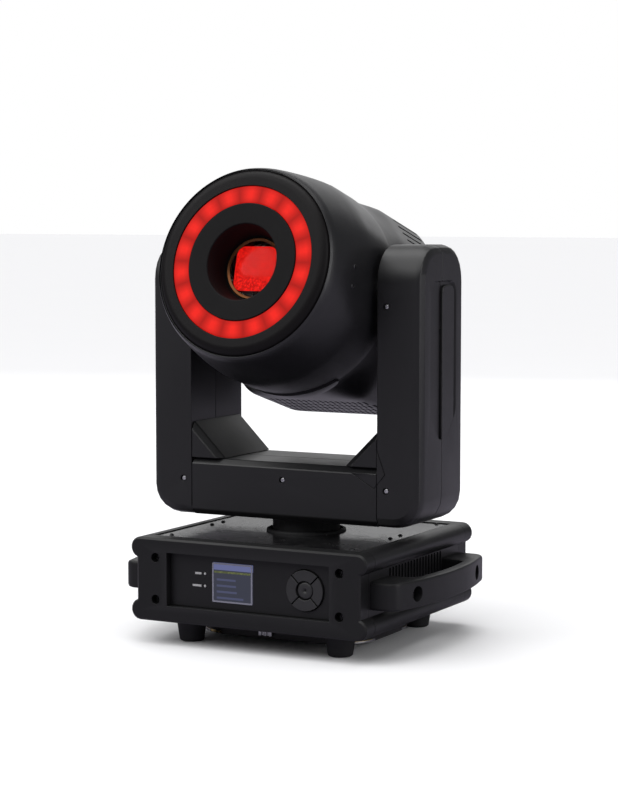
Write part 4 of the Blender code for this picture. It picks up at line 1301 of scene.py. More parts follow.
@dataclass
class Underside:
    """The tray, quick locks, safety eye and feet below the base."""

    trim_radius: float = 0.0382
    trim_height: float = 0.0022
    trim_wall: float = 0.0009
    trim_low: float = 0.0006
    trim_start: float = 5.0
    trim_sweep: float = 80.0
    corner_x: float = 0.060
    corner_y: float = 0.035

    def build(self) -> None:
        """Builds every piece of the underside."""
        refined("bottom_tray", Finishes.paint, 0.0012, steps=3)
        self.trims()
        for side in ("left", "right"):
            refined("quick_lock_" + side, Finishes.zinc, 0.0004)
        self.eye()
        self.feet()

    def trims(self) -> None:
        """Bright edges round the tray's four corners."""
        arcs = []
        inner = self.trim_radius - self.trim_wall
        for quarter, (sx, sy) in enumerate(((1, 1), (-1, 1), (-1, -1), (1, -1))):
            strip = bmesh.new()
            bmesh.ops.create_grid(strip, x_segments=1, y_segments=1, size=0.5)
            bmesh.ops.rotate(strip, verts=strip.verts[:], matrix=Matrix.Rotation(math.pi / 2, 3, "X"))
            bmesh.ops.scale(strip, verts=strip.verts[:], vec=(self.trim_wall, 1, self.trim_height))
            middle = (inner + self.trim_wall / 2, 0, self.trim_low + self.trim_height / 2)
            bmesh.ops.translate(strip, verts=strip.verts[:], vec=middle)
            section = strip.verts[:] + strip.edges[:] + strip.faces[:]
            bmesh.ops.spin(
                strip, geom=section, cent=(0, 0, 0), axis=(0, 0, 1), angle=math.radians(self.trim_sweep),
                steps=20,
            )
            place = at(sx * self.corner_x, sy * self.corner_y, 0) @ turn(90 * quarter + self.trim_start, "Z")
            arcs.append(moved(strip, place))
        finished("tray_corner_trims", joined(arcs), Finishes.gilt, "bottom_tray")

    def eye(self) -> None:
        """The safety eye, with ribs across its face."""
        low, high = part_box("safety_eye")
        count, width = 3, 0.0011
        pitch = (high.x - low.x) / (count + 1)
        ribs = [
            block((low.x + pitch * (i + 1) - width / 2, low.y - 0.001, low.z - 0.001),
                  (low.x + pitch * (i + 1) + width / 2, low.y + 0.0007, high.z + 0.001))
            for i in range(count)
        ]
        refined("safety_eye", Finishes.steel, 0.0003, ribs)

    def feet(self) -> None:
        """Rubber feet, each with a screw hole in its sole."""
        for end in ("front", "rear"):
            for side in ("left", "right"):
                node = f"foot_{end}_{side}"
                low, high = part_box(node)
                x, y = (low.x + high.x) / 2, (low.y + high.y) / 2
                hole = moved(drum(0.0045, -0.001, 0.004, 24), at(x, y, low.z) @ turn(90, "X"))
                refined(node, Finishes.rubber, 0.0009, [hole], 3)


@dataclass
class Handle:
    """A side handle with a screw sunk in each end."""

    side: str
    screw: Screw = Screw(0.0062, 0.0028, 0.0018)
    screw_y: float = 0.074

    def build(self) -> None:
        """Builds the handle and its screws."""
        node = "handle_" + self.side
        refined(node, Finishes.base, 0.0018, steps=4)
        low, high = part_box(node)
        out = 1 if self.side == "right" else -1
        height = (low.z + high.z) / 2
        seats = []
        for y in (-self.screw_y, self.screw_y):
            floor = surface(node, (out * 0.3, y, height), (-out, 0, 0))
            seats.append(at(floor.x, y, height) @ turn(90 * out, "Z"))
        finished(node + "_screws", self.screw.placed(seats), Finishes.black_screw, node)


@dataclass
class ControlPanel:
    """The front panel: a menu screen, four arrow keys round an enter key, and two indicators."""

    lamp_x: float = -0.052
    lamp_rises: tuple[float, float] = (0.0078, -0.005)
    lamp_radius: float = 0.0014
    dash_lengths: tuple[float, float] = (0.0075, 0.0105)
    border: float = 0.0016

    def build(self) -> None:
        """Builds every piece of the panel."""
        refined("control_panel", Finishes.base, 0.0006)
        low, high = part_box("display_window")
        self.face = low.y
        self.middle = (low.z + high.z) / 2
        self.screen(low, high)
        self.lamps()
        self.keys()

    def screen(self, low: Vector, high: Vector) -> None:
        """The menu screen under its window, in a thin pale border.

        Args:
            low: the window's lowest corner.
            high: the window's highest corner.
        """
        middle = (low + high) / 2
        half_width, half_height = (high.x - low.x) / 2, (high.z - low.z) / 2
        glass = soften(plate(oblong(half_width, half_height, 0.001), -(high.y - low.y), 0), 0.0003)
        size = (2 * (half_width - self.border), 2 * (half_height - self.border))
        glow = MenuGlow(
            "menu_screen", (0.042, 0.045, 0.064), (0.13, 0.145, 0.30), 1.0, (middle.x, low.y, middle.z),
            0.0, size,
        )
        finished(
            "menu_window", moved(glass, at(middle.x, low.y, middle.z)), glow, "display_window",
            ["display_window"],
        )
        rule_half, rule_low = size[0] / 2 - 0.0006, high.z - self.border - 0.235 * size[1]
        rule = block((-rule_half, -0.00015, 0), (rule_half, 0.0002, 0.0020))
        lit = Glow("menu_rule_lit", (0.075, 0.085, 0.040), (0.12, 0.135, 0.055), 1.0, tuple(middle), 0.0)
        finished(
            "menu_rule", moved(rule, at(middle.x, low.y, rule_low)), lit, "display_window",
        )
        outer = plate(oblong(half_width, half_height, 0.001), -0.0002, 0.00025)
        inner = plate(oblong(size[0] / 2, size[1] / 2, 0.0006), -0.001, 0.001)
        rim = carve(outer, [inner])
        finished(
            "window_border", moved(rim, at(middle.x, low.y, middle.z)), Finishes.border,
            "display_window",
        )

    def lamps(self) -> None:
        """Two indicator lamps, each with a plain dash beside it in place of a word."""
        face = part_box("control_panel")[0].y
        wall = surface(
            "control_panel", (self.lamp_x, face - 0.05, self.middle + self.lamp_rises[0]), (0, 1, 0)
        ).y
        bulbs, collars, dashes = [], [], []
        for rise, length in zip(self.lamp_rises, self.dash_lengths):
            z = self.middle + rise
            dome = rounded(
                [(0, -0.0005), (self.lamp_radius, -0.0005), (self.lamp_radius, 0.0008), (0, 0.0008)],
                {2: 0.0007},
            )
            bulbs.append(moved(turned(dome, 20), at(self.lamp_x, wall, z)))
            collar = [(self.lamp_radius, -0.0003), (self.lamp_radius + 0.0006, -0.0003),
                      (self.lamp_radius + 0.0006, 0.0003), (self.lamp_radius, 0.0003)]
            collars.append(moved(turned(collar, 20), at(self.lamp_x, wall, z)))
            end = self.lamp_x - 0.0045
            dashes.append(block((end - length, wall - 0.00012, z - 0.0011), (end, wall + 0.0001, z + 0.0011)))
        finished("indicator_lamps", joined(bulbs), Finishes.mark, "control_panel")
        finished("indicator_collars", joined(collars), Finishes.dark, "control_panel")
        finished("indicator_dashes", joined(dashes), Finishes.mark, "control_panel")

    def keys(self) -> None:
        """The arrow keys with soft corners, and the domed enter key."""
        for way in ("up", "down", "left", "right"):
            refined("button_" + way, Finishes.keys, 0.0007, steps=3)
        low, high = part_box("button_enter")
        radius = (high.x - low.x) / 2
        depth = high.y - low.y
        dome = rounded([(0, 0), (radius, 0), (radius, depth - 0.0014), (0, depth)], {2: 0.0022, 3: 0.006}, 8)
        middle = (low + high) / 2
        shape = moved(turned(dome, 64), at(middle.x, high.y, middle.z))
        finished("enter_key", shape, Finishes.keys, "button_enter", ["button_enter"])


@dataclass
class RearPanel:
    """The four sockets at the back of the base."""

    def build(self) -> None:
        """Builds every piece of the rear panel."""
        self.power("power_inlet", Finishes.insert_blue)
        self.power("power_outlet", Finishes.insert_grey)
        self.data("data_inlet")
        self.data("data_outlet")

    def mouth(self, node: str) -> Vector:
        """The middle of a socket's outer face.

        Args:
            node: the socket.

        Returns:
            The place.
        """
        low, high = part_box(node)
        return Vector(((low.x + high.x) / 2, high.y, (low.z + high.z) / 2))

    def power(self, node: str, finish: Finish) -> None:
        """A power socket: a coloured insert, a keyed post and three blade contacts.

        Args:
            node: the fixed part that it stands for.
            finish: the socket's finish.
        """
        refined(node, finish, 0.0006)
        middle = self.mouth(node)
        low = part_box(node)[0].y
        out = at(middle.x, low, middle.z) @ turn(180, "Z")
        post = moved(soften(drum(0.0032, 0.003, 0.012, 24), 0.0005), out)
        finished(node + "_post", post, finish, node)
        blades = [
            moved(block((-0.0007, -0.0105, 0.0038), (0.0007, -0.003, 0.0054)), out @ turn(120 * i, "Y"))
            for i in range(3)
        ]
        finished(node + "_contacts", joined(blades), Finishes.brass, node)

    def data(self, node: str) -> None:
        """A data socket: a die-cast shell with pins on a round insert.

        Args:
            node: the fixed part that it stands for.
        """
        refined(node, Finishes.zinc, 0.0005)
        middle = self.mouth(node)
        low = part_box(node)[0].y
        out = at(middle.x, low, middle.z) @ turn(180, "Z")
        pins = [
            moved(
                soften(drum(0.0009, 0.003, 0.0125, 16), 0.0003),
                out @ turn(120 * i, "Y") @ at(0, 0, 0.0042),
            )
            for i in range(3)
        ]
        finished(node + "_pins", joined(pins), Finishes.brass, node)


# ---------------------------------------------------------------------------------------------
# Yoke
# ---------------------------------------------------------------------------------------------


@dataclass
class Yoke:
    """The crossbar and the two arms that carry the head."""

    corner: float = 0.0010
    screw: Screw = Screw(0.0025, 0.0012, 0.0009)
    screw_hole: float = 0.0036
    screw_depth: float = 0.0026
    screw_x: float = 0.1205
    screw_low: float = 0.0382
    screw_high: float = 0.2267
    screw_middle: float = 0.0428
    seam_width: float = 0.0010
    seam_depth: float = 0.0012
    recess_half: float = 0.034
    recess_low: float = 0.087
    recess_high: float = 0.2535
    recess_depth: float = 0.0028
    island: tuple[float, float] = (-0.0020, 0.027)
    covers: tuple[str, ...] = ("arm_front_cover_left", "arm_front_cover_right", "crossbar_front_cover")
    rear_covers: tuple[str, ...] = ("arm_rear_cover_left", "arm_rear_cover_right", "crossbar_rear_cover")

    def __post_init__(self) -> None:
        """Reads the faces that everything is placed from."""
        low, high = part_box("arm_front_cover_right")
        self.bottom = low.z
        self.front = low.y
        self.outer = high.x
        self.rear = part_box("arm_rear_cover_right")[1].y

    def build(self) -> None:
        """Builds every piece of the yoke."""
        for names, facing in ((self.covers, Matrix.Identity(4)), (self.rear_covers, turn(180, "Z"))):
            face = self.front if names is self.covers else -self.rear
            tools = self.front_tools(face)
            for node in names:
                shape = soften(copy_of(node), self.corner, 2)
                for tool in tools:
                    shape = carve(shape, [moved(tool.copy(), facing)])
                if node.startswith("arm"):
                    shape = carve(shape, [self.recess(1 if node.endswith("right") else -1)])
                finished(node + "_skin", shape, Finishes.shell, node, [node])
            seats = [facing @ place for place in self.seats(face)]
            name = "yoke_front_screws" if names is self.covers else "yoke_rear_screws"
            finished(name, self.screw.placed(seats), Finishes.screw, "yoke_frame")
            for tool in tools:
                tool.free()
        for side in ("left", "right"):
            refined("gusset_" + side, Finishes.shell, 0.0012, steps=3)
        self.islands()

    def spots(self) -> list[tuple[float, float]]:
        """Where the cover screws are, as (x, z).

        Returns:
            The places.
        """
        sides = [
            (x, self.bottom + z)
            for x in (-self.screw_x, self.screw_x)
            for z in (self.screw_low, self.screw_high)
        ]
        return [*sides, (0.0, self.bottom + self.screw_middle)]

    def seats(self, face: float) -> list[Matrix]:
        """Where each cover screw's head sits, for a face along Y."""
        return [at(x, face + self.screw_depth - GAP, z) for x, z in self.spots()]

    def front_tools(self, face: float) -> list[BMesh]:
        """What is cut into the covers from their own face.

        Args:
            face: the face's place along Y.

        Returns:
            The screw holes together, then each run of the seams.
        """
        holes = [
            moved(drum(self.screw_hole, -self.screw_depth, 0.002, 24), at(x, face, z))
            for x, z in self.spots()
        ]
        low = self.bottom
        tongue = [
            (0.0713, low + 0.0610), (0.1070, low + 0.0400), (0.1196, low + 0.0550),
            (0.1096, low + 0.0820),
        ]
        return [
            joined(holes),
            *[
                joined([bar, mirrored(bar.copy())])
                for bar in groove(tongue, face, self.seam_width, self.seam_depth)
            ],
        ]

    def recess(self, side: int) -> BMesh:
        """The long shallow recess in an arm's outer face, with sloping walls.

        Args:
            side: 1 for the right arm, -1 for the left.

        Returns:
            The shape to cut away.
        """
        half, low, high = self.recess_half, self.bottom + self.recess_low, self.bottom + self.recess_high
        outline = [
            (-half, high), (half, high), (half, low + 0.027), (0.010, low), (-0.010, low),
            (-half, low + 0.027),
        ]
        corners = {0: 0.016, 1: 0.016, 2: 0.008, 3: 0.006, 4: 0.006, 5: 0.008}
        shape = plate(rounded(outline, corners, 6), -self.recess_depth, 0.003)
        floor = [v for v in shape.verts if v.co.y > 0]
        middle = Vector((0, 0, (low + high) / 2))
        bmesh.ops.scale(shape, vec=(0.86, 1, 0.97), verts=floor, space=Matrix.Translation(-middle))
        return moved(shape, at(side * self.outer, 0, 0) @ turn(90 * side, "Z"))

    def islands(self) -> None:
        """The raised spine in each arm's recess, which runs on down to the arm's foot."""
        start, end = self.island
        low, high = self.bottom + 0.030, self.bottom + self.recess_high - 0.006
        for side, name in ((-1, "left"), (1, "right")):
            outline = [(start, high), (end, high), (end, low), (start, low)]
            shape = plate(
                rounded(outline, {0: 0.010, 1: 0.010, 2: 0.003, 3: 0.003}, 6), -self.recess_depth, 0
            )
            crown = [e for e in shape.edges if all(v.co.y < 0.0001 for v in e.verts)]
            bmesh.ops.bevel(
                shape, geom=crown, offset=0.0012, offset_type="OFFSET", segments=4, profile=0.5,
                affect="EDGES", clamp_overlap=True, material=-1,
            )
            if side < 0:
                bmesh.ops.scale(shape, vec=(-1, 1, 1), verts=shape.verts[:])
            moved(shape, at(side * (self.outer - 0.0001), 0, 0) @ turn(90 * side, "Z"))
            finished("arm_spine_" + name, shape, Finishes.shell, "arm_rear_cover_" + name)


# ---------------------------------------------------------------------------------------------
# Head
# ---------------------------------------------------------------------------------------------


class HeadPlace:
    """Where the head is: its tilt axis, and the way that its lens looks."""

    def __init__(self) -> None:
        """Reads both from the joints."""
        joints = {joint["name"]: joint for joint in frame["joints"]}
        self.centre = Vector(joints["tilt"]["pos_m"])
        axis = Vector(joints["focus_travel"]["axis"])
        self.angle = -math.atan2(abs(axis.z), abs(axis.y))
        self.matrix = Matrix.Translation(self.centre) @ Matrix.Rotation(self.angle, 4, "X")

    def point(self, x: float, out: float, up: float) -> Vector:
        """A point of the head's own frame, given how far it is out of the lens."""
        return self.matrix @ Vector((x, -out, up))


@dataclass
class HeadShell:
    """The barrel and the rear housing that it blends into."""

    place: HeadPlace
    radius: float = 0.1125
    flat: float = 0.104
    crown: float = 0.1043
    wall: float = 0.003
    front: float = 0.1385
    mouth: float = 0.0966
    back: float = 0.0195
    lobe: float = 0.0155
    lobe_half: float = 0.060
    steps: int = 144
    join: float = 0.0005
    blend_end: float = -0.034
    side: float = 0.098
    top: float = 0.104
    top_flat: float = 0.060
    top_side: float = 0.060
    bottom: float = 0.105
    bottom_flat: float = 0.070
    bottom_side: float = 0.058
    rear: float = -0.128
    fan_radius: float = 0.037
    rounding: float = 0.010

    def build(self) -> None:
        """Builds the barrel, the lobe under it and both halves of the rear housing."""
        self.barrel()
        self.lip_lobe()
        for name, half in (("rear_housing_top", 1), ("rear_housing_bottom", -1)):
            self.housing(name, half)
        self.marks()

    def flattened(self, x: float, limit: float) -> float:
        """A place across the barrel, eased so that it never passes its flat side.

        Args:
            x: the place.
            limit: how far the flat side is from the axis.

        Returns:
            The eased place.
        """
        start = limit * 0.93
        if abs(x) <= start:
            return x
        room = limit - start
        return math.copysign(start + room * math.tanh((abs(x) - start) / room), x)

    def barrel(self) -> None:
        """The barrel: a turned shell with eased flat sides."""
        r, wall, front = self.radius, self.wall, self.front
        outer = [
            (self.mouth, front), (r - 0.0138, front - 0.0001), (r - 0.0118, front - 0.0036),
            (r - 0.0080, front - 0.0210), (r - 0.0046, front - 0.0375), (r - 0.0016, front - 0.0550),
            (r - 0.0002, front - 0.0690), (r - 0.0002, self.back + 0.012), (r - 0.0010, self.back),
        ]
        inner = [(radius - wall, out - wall) for radius, out in outer[1:7]]
        inner = [
            (r - wall, self.back), (r - wall, self.back + 0.02), *reversed(inner),
            (self.mouth, front - 0.005),
        ]
        profile = rounded(outer + inner, {0: 0.0004, 1: 0.0012, 2: 0.006, 3: 0.006, 4: 0.006, 5: 0.006}, 6)
        shape = turned(profile, self.steps)
        for v in shape.verts:
            inset = wall if self.inside(v.co, outer) else 0.0
            v.co.x = self.flattened(v.co.x, self.flat - inset)
            if v.co.z > 0:
                v.co.z = self.flattened(v.co.z, self.crown - inset)
        finished(
            "barrel_shell", moved(shape, self.place.matrix), Finishes.head, "front_barrel",
            ["front_barrel"],
        )

    def inside(self, place: Vector, outer: Sequence[tuple[float, float]]) -> bool:
        """Whether a point is on the barrel's inner face.

        Args:
            place: the point, in the head's own frame.
            outer: the outer profile as (radius, out), from the mouth back.

        Returns:
            True if it is well below the outer profile there.
        """
        radius, out = math.hypot(place.x, place.z), -place.y
        for (r0, out0), (r1, out1) in zip(outer, outer[1:]):
            if out1 <= out <= out0:
                share = (out0 - out) / max(out0 - out1, 1e-9)
                return radius < r0 + (r1 - r0) * share - self.wall / 2
        return False

    def lip_lobe(self) -> None:
        """The lobe that stands below the barrel's rear edge, narrower towards both sides."""
        shape = bmesh.new()
        bmesh.ops.create_grid(shape, x_segments=40, y_segments=6, size=0.5)
        for v in shape.verts:
            across = v.co.x * 2
            x = across * self.lobe_half
            share = 0.5 - v.co.y
            reach = self.lobe * math.sqrt(max(0.0, 1 - across * across))
            edge = 0.0012 * (1 - share * share)
            out = self.back + 0.004 - share * (0.004 + reach)
            v.co = Vector((x, -out, -math.sqrt((self.radius - 0.0022 + edge) ** 2 - x * x)))
        bmesh.ops.recalc_face_normals(shape, faces=shape.faces[:])
        bmesh.ops.solidify(shape, geom=shape.faces[:], thickness=0.0022)
        finished(
            "barrel_lobe", moved(shape, self.place.matrix), Finishes.head, "front_barrel",
        )

    def octagon(self, angle: float) -> float:
        """The rear housing's reach from the axis at an angle from +X, its corners eased.

        Args:
            angle: the angle from +X.

        Returns:
            The reach.
        """
        c, s = math.cos(angle), math.sin(angle)
        height, flat, side = (self.top, self.top_flat, self.top_side) if s > 0 else (
            self.bottom, self.bottom_flat, self.bottom_side
        )
        nx, nz = height - side, self.side - flat
        offset = (nx * self.side + nz * side)
        ways = [abs(c) / self.side, abs(s) / height, (nx * abs(c) + nz * abs(s)) / offset]
        power = 26.0
        return sum(way ** power for way in ways) ** (-1 / power)

    def ring(self, angle: float) -> float:
        """The reach of the housing where it meets the barrel: round, but flat below and at the sides.

        Args:
            angle: the angle from +X.

        Returns:
            The reach.
        """
        c, s = math.cos(angle), math.sin(angle)
        ways = [1 / (self.radius - self.join - 0.0008), abs(c) / (self.flat - self.join)]
        ways.append(abs(s) / (self.bottom + 0.0005 if s < 0 else self.crown - self.join))
        power = 40.0
        return sum(way ** power for way in ways) ** (-1 / power)

    def section(self, angle: float, out: float) -> float:
        """The reach at an angle and a place along the axis.

        Args:
            angle: the angle from +X.
            out: the place along the axis, towards the lens.

        Returns:
            The reach.
        """
        share = min(max((self.back - out) / (self.back - self.blend_end), 0.0), 1.0)
        share = share * share * (3 - 2 * share)
        return (1 - share) * self.ring(angle) + share * self.octagon(angle)

    def stations(self) -> list[tuple[float, float]]:
        """Places along the axis, each with the share of the full section there.

        Returns:
            The places and their shares, from the barrel to the back.
        """
        along = [self.back + 0.010 - i * (self.back + 0.010 - self.blend_end) / 12 for i in range(13)]
        straight = [self.blend_end - i * 0.012 for i in range(1, 7)]
        made = [(out, 1.0) for out in [*along, *straight] if out > self.rear + self.rounding]
        for step in range(7):
            turn_by = math.pi / 2 * step / 6
            out = self.rear + self.rounding * (1 - math.sin(turn_by))
            made.append((out, 1 - self.rounding * (1 - math.cos(turn_by)) / self.side))
        return made

    def housing(self, node: str, half: int) -> None:
        """Half of the rear housing, lofted from the barrel's round to its own eight sides.

        Args:
            node: the fixed part that it stands for.
            half: 1 for the top, -1 for the bottom.
        """
        shape = bmesh.new()
        bmesh.ops.create_circle(shape, segments=self.steps, radius=1)
        angles = {v: math.atan2(v.co.y, v.co.x) for v in shape.verts}
        edges = shape.edges[:]
        self.place_ring(angles, *self.stations()[0])
        for out, share in self.stations()[1:]:
            edges, angles = self.extended(shape, edges, angles)
            self.place_ring(angles, out, share)
        for radius in (self.fan_radius + 0.012, self.fan_radius):
            edges, angles = self.extended(shape, edges, angles)
            for v, angle in angles.items():
                v.co = Vector((radius * math.cos(angle), -self.rear, radius * math.sin(angle)))
        bmesh.ops.bisect_plane(
            shape, geom=shape.verts[:] + shape.edges[:] + shape.faces[:], dist=1e-6,
            plane_co=(0, 0, half * GAP), plane_no=(0, 0, half), clear_inner=True,
        )
        bmesh.ops.recalc_face_normals(shape, faces=shape.faces[:])
        if max(shape.faces, key=lambda f: abs(f.calc_center_median().z)).normal.z * half < 0:
            bmesh.ops.reverse_faces(shape, faces=shape.faces[:])
        bmesh.ops.solidify(shape, geom=shape.faces[:], thickness=self.wall)
        bmesh.ops.recalc_face_normals(shape, faces=shape.faces[:])
        vents = Vents(self)
        shape = carve(shape, vents.top() if half > 0 else vents.bottom())
        finished(node + "_skin", moved(shape, self.place.matrix), Finishes.head, node, [node])

    def extended(self, shape: BMesh, edges: list[BMEdge], angles: dict[BMVert, float]) -> tuple[
        list[BMEdge], dict[BMVert, float]
    ]:
        """Extrudes an open ring of edges.

        Args:
            shape: the shape.
            edges: the ring's edges.
            angles: the angle of each of its points.

        Returns:
            The new ring's edges and its points' angles.
        """
        made = bmesh.ops.extrude_edge_only(shape, edges=edges)["geom"]
        fresh = [item for item in made if isinstance(item, BMVert)]
        rims = [
            item
            for item in made
            if isinstance(item, BMEdge)
            and all(v in set(fresh) for v in item.verts)
        ]
        places = {
            (round(v.co.x, 7), round(v.co.y, 7), round(v.co.z, 7)): angle for v, angle in angles.items()
        }
        return rims, {v: places[(round(v.co.x, 7), round(v.co.y, 7), round(v.co.z, 7))] for v in fresh}

    def place_ring(self, angles: dict[BMVert, float], out: float, share: float) -> None:
        """Puts a ring's points on the housing's section.

        Args:
            angles: the angle of each of its points.
            out: its place along the axis.
            share: its share of the full section.
        """
        for v, angle in angles.items():
            reach = self.section(angle, out) * share
            v.co = Vector((reach * math.cos(angle), -out, reach * math.sin(angle)))

    def marks(self) -> None:
        """Two small screws on each flat side, one above the other."""
        seats = []
        for side in (-1, 1):
            for up in (0.008, -0.012):
                seats.append(
                    self.place.matrix @ at(side * (self.flat - 0.0012), -0.096, up) @ turn(
                        90 * side, "Z"
                    )
                )
        finished(
            "barrel_side_screws", Screw(0.0026, 0.0012, 0.0008).placed(seats), Finishes.black_screw,
            "front_barrel",
        )


@dataclass
class Vents:
    """The air slots of the rear housing."""

    shell: HeadShell
    width: float = 0.0030
    length: float = 0.0135
    pitch: float = 0.0066
    rows: tuple[float, ...] = (-0.052, -0.070, -0.088, -0.106)
    chamfer_slots: int = 5
    chamfer_length: float = 0.062

    def slot(self, length: float) -> BMesh:
        """One slot's cutting bar along Y, pointing down, its middle at the origin."""
        return block((-self.width / 2, -length / 2, -0.008), (self.width / 2, length / 2, 0.008))

    def bottom(self) -> list[BMesh]:
        """Rows of slots across the flat bottom and up both lower chamfers.

        Returns:
            The cutting bars: the flat bottom's as one shape, then each chamfer's.
        """
        shell, bars = self.shell, []
        count = int((shell.bottom_flat - 0.006) / self.pitch)
        for index, out in enumerate(self.rows):
            shift = self.pitch / 2 * (index % 2)
            for i in range(-count, count + 1):
                x = i * self.pitch + shift
                if abs(x) < shell.bottom_flat - 0.005:
                    bars.append(moved(self.slot(self.length), at(x, -out, -shell.bottom)))
        return [joined(bars), *self.chamfers(-1)]

    def top(self) -> list[BMesh]:
        """Long slots along both upper chamfers."""
        return self.chamfers(1)

    def chamfers(self, half: int) -> list[BMesh]:
        """Slots in the sloping sides, above or below.

        Args:
            half: 1 above the axis, -1 below it.

        Returns:
            One joined set of bars for the right side and one for the left.
        """
        shell = self.shell
        height, flat, side = (shell.top, shell.top_flat, shell.top_side) if half > 0 else (
            shell.bottom, shell.bottom_flat, shell.bottom_side
        )
        start, end = Vector((flat, half * height)), Vector((shell.side, half * side))
        slope = math.degrees(math.atan2(height - side, shell.side - flat))
        sets = []
        for mirror in (1, -1):
            bars = []
            for i in range(self.chamfer_slots):
                spot = start.lerp(end, 0.16 + 0.68 * i / (self.chamfer_slots - 1))
                length = self.chamfer_length if half > 0 else self.length
                places = (-0.082,) if half > 0 else self.rows[1:]
                for out in places:
                    bars.append(
                        moved(
                            self.slot(length),
                            at(mirror * spot.x, -out, spot.y) @ turn(mirror * half * slope, "Y"),
                        )
                    )
            sets.append(joined(bars))
        return sets


@dataclass
class HeadFront:
    """The bezel, the glowing ring, the lens well and the lens."""

    place: HeadPlace
    steps: int = 160
    bezel_front: float = 0.1445
    mouth: float = 0.0963
    ring_outer: float = 0.0787
    ring_inner: float = 0.0609
    ring_front: float = 0.1435
    carrier: float = 0.133
    well: float = 0.0395
    seat: float = 0.0335
    lens_seat: float = 0.1135
    lens: float = 0.0297
    gate_half: float = 0.0232
    gate_corner: float = 0.0095
    gate_front: float = 0.1150
    red: Colour = (0.86, 0.019, 0.012)

    def build(self) -> None:
        """Builds every piece of the head's front."""
        self.bezel()
        self.ring()
        self.baffle()
        self.optic()

    def bezel(self) -> None:
        """The bezel outside the glowing ring."""
        inner, front = self.ring_outer + GAP, self.bezel_front
        profile = [
            (inner, front), (self.mouth - 0.0045, front), (self.mouth, 0.1385), (self.mouth, self.carrier),
            (inner, self.carrier),
        ]
        shape = turned(rounded(profile, {0: 0.0006, 1: 0.0050, 2: 0.0004}, 8), self.steps)
        finished(
            "bezel_ring", moved(shape, self.place.matrix), Finishes.bezel, "front_bezel",
            ["front_bezel"],
        )

    def ring(self) -> None:
        """The diffuser over the ring of lamps, its edges rounded over."""
        inner, outer, front = self.ring_inner + GAP, self.ring_outer, self.ring_front
        profile = [(inner, front), (outer, front), (outer, self.carrier), (inner, self.carrier)]
        shape = turned(rounded(profile, {0: 0.0012, 1: 0.0012}, 5), self.steps)
        glow = RingGlow(
            "ring_diffuser", (0.42, 0.008, 0.005), self.red, 1.0, tuple(self.place.centre), self.place.angle,
            18, (inner + outer) / 2, (outer - inner) / 2,
        )
        finished(
            "lamp_ring_diffuser", moved(shape, self.place.matrix), glow, "led_ring_diffuser",
            ["led_ring_diffuser"],
        )

    def baffle(self) -> None:
        """The lens well: a flat rim, a rolled lip and stepped light baffles down to the lens."""
        front, carrier = self.bezel_front, self.carrier
        wall = [(self.well, front - 0.0005), (self.well - 0.0006, front - 0.006)]
        steps = 5
        drop = (front - 0.006 - self.lens_seat - 0.002) / steps
        for i in range(steps):
            radius = self.well - 0.0008 - (self.well - self.seat - 0.001) * (i + 1) / steps
            out = front - 0.006 - drop * (i + 1)
            wall += [(radius + 0.0006, out + drop * 0.25), (radius, out)]
        inside = [(self.seat, self.lens_seat + 0.001), (self.lens + GAP, self.lens_seat + 0.0005)]
        back = [
            (self.lens + GAP, self.lens_seat - 0.006), (self.lens - 0.002, self.lens_seat - 0.006),
            (self.lens - 0.002, 0.104), (self.seat + 0.003, 0.104),
            (self.well + 0.003, carrier - 0.003), (0.098, carrier - 0.003), (0.098, carrier),
            (self.ring_inner, carrier), (self.ring_inner, front),
        ]
        profile = [*wall, *inside, *back]
        last = len(profile) - 1
        shape = turned(rounded(profile, {0: 0.0012, last: 0.0010}, 5), self.steps)
        finished(
            "lens_well_baffle", moved(shape, self.place.matrix), Finishes.well, "lens_well",
            ["lens_well"],
        )

    def optic(self) -> None:
        """The domed lens in its coated ring, with the lit gate behind it."""
        seat, radius = self.lens_seat, self.lens
        dome = [
            (radius * math.sin(a), seat + 0.0045 * math.cos(a))
            for a in (math.pi / 2 * i / 12 for i in range(13))
        ]
        glass = turned([*dome, (radius, seat - 0.0048), (0, seat - 0.0048)], 96, closed=False)
        finished("domed_lens", moved(glass, self.place.matrix), Finishes.lens, "front_lens", ["front_lens"])
        ring = rounded(
            [
                (radius - 0.0008, seat + 0.0012), (radius + 0.0022, seat + 0.0026),
                (radius + 0.0030, seat + 0.0012), (radius + 0.0030, seat + 0.0006),
                (radius - 0.0004, seat + 0.0006),
            ],
            {0: 0.0004, 1: 0.001}, 4,
        )
        finished(
            "lens_ring", moved(turned(ring, 96), self.place.matrix), Finishes.bronze, "lens_well",
        )
        gate = soften(
            plate(
                oblong(self.gate_half, self.gate_half, self.gate_corner), self.gate_front - 0.0014,
                self.gate_front - 0.0006,
            ),
            0.0002,
        )
        centre = tuple(self.place.point(0, self.gate_front, 0))
        glow = Glow("lit_gate", (0.50, 0.004, 0.003), (0.90, 0.013, 0.007), 1.0, centre, self.place.angle)
        finished("light_gate", moved(gate, self.place.matrix), glow, "lens_well")


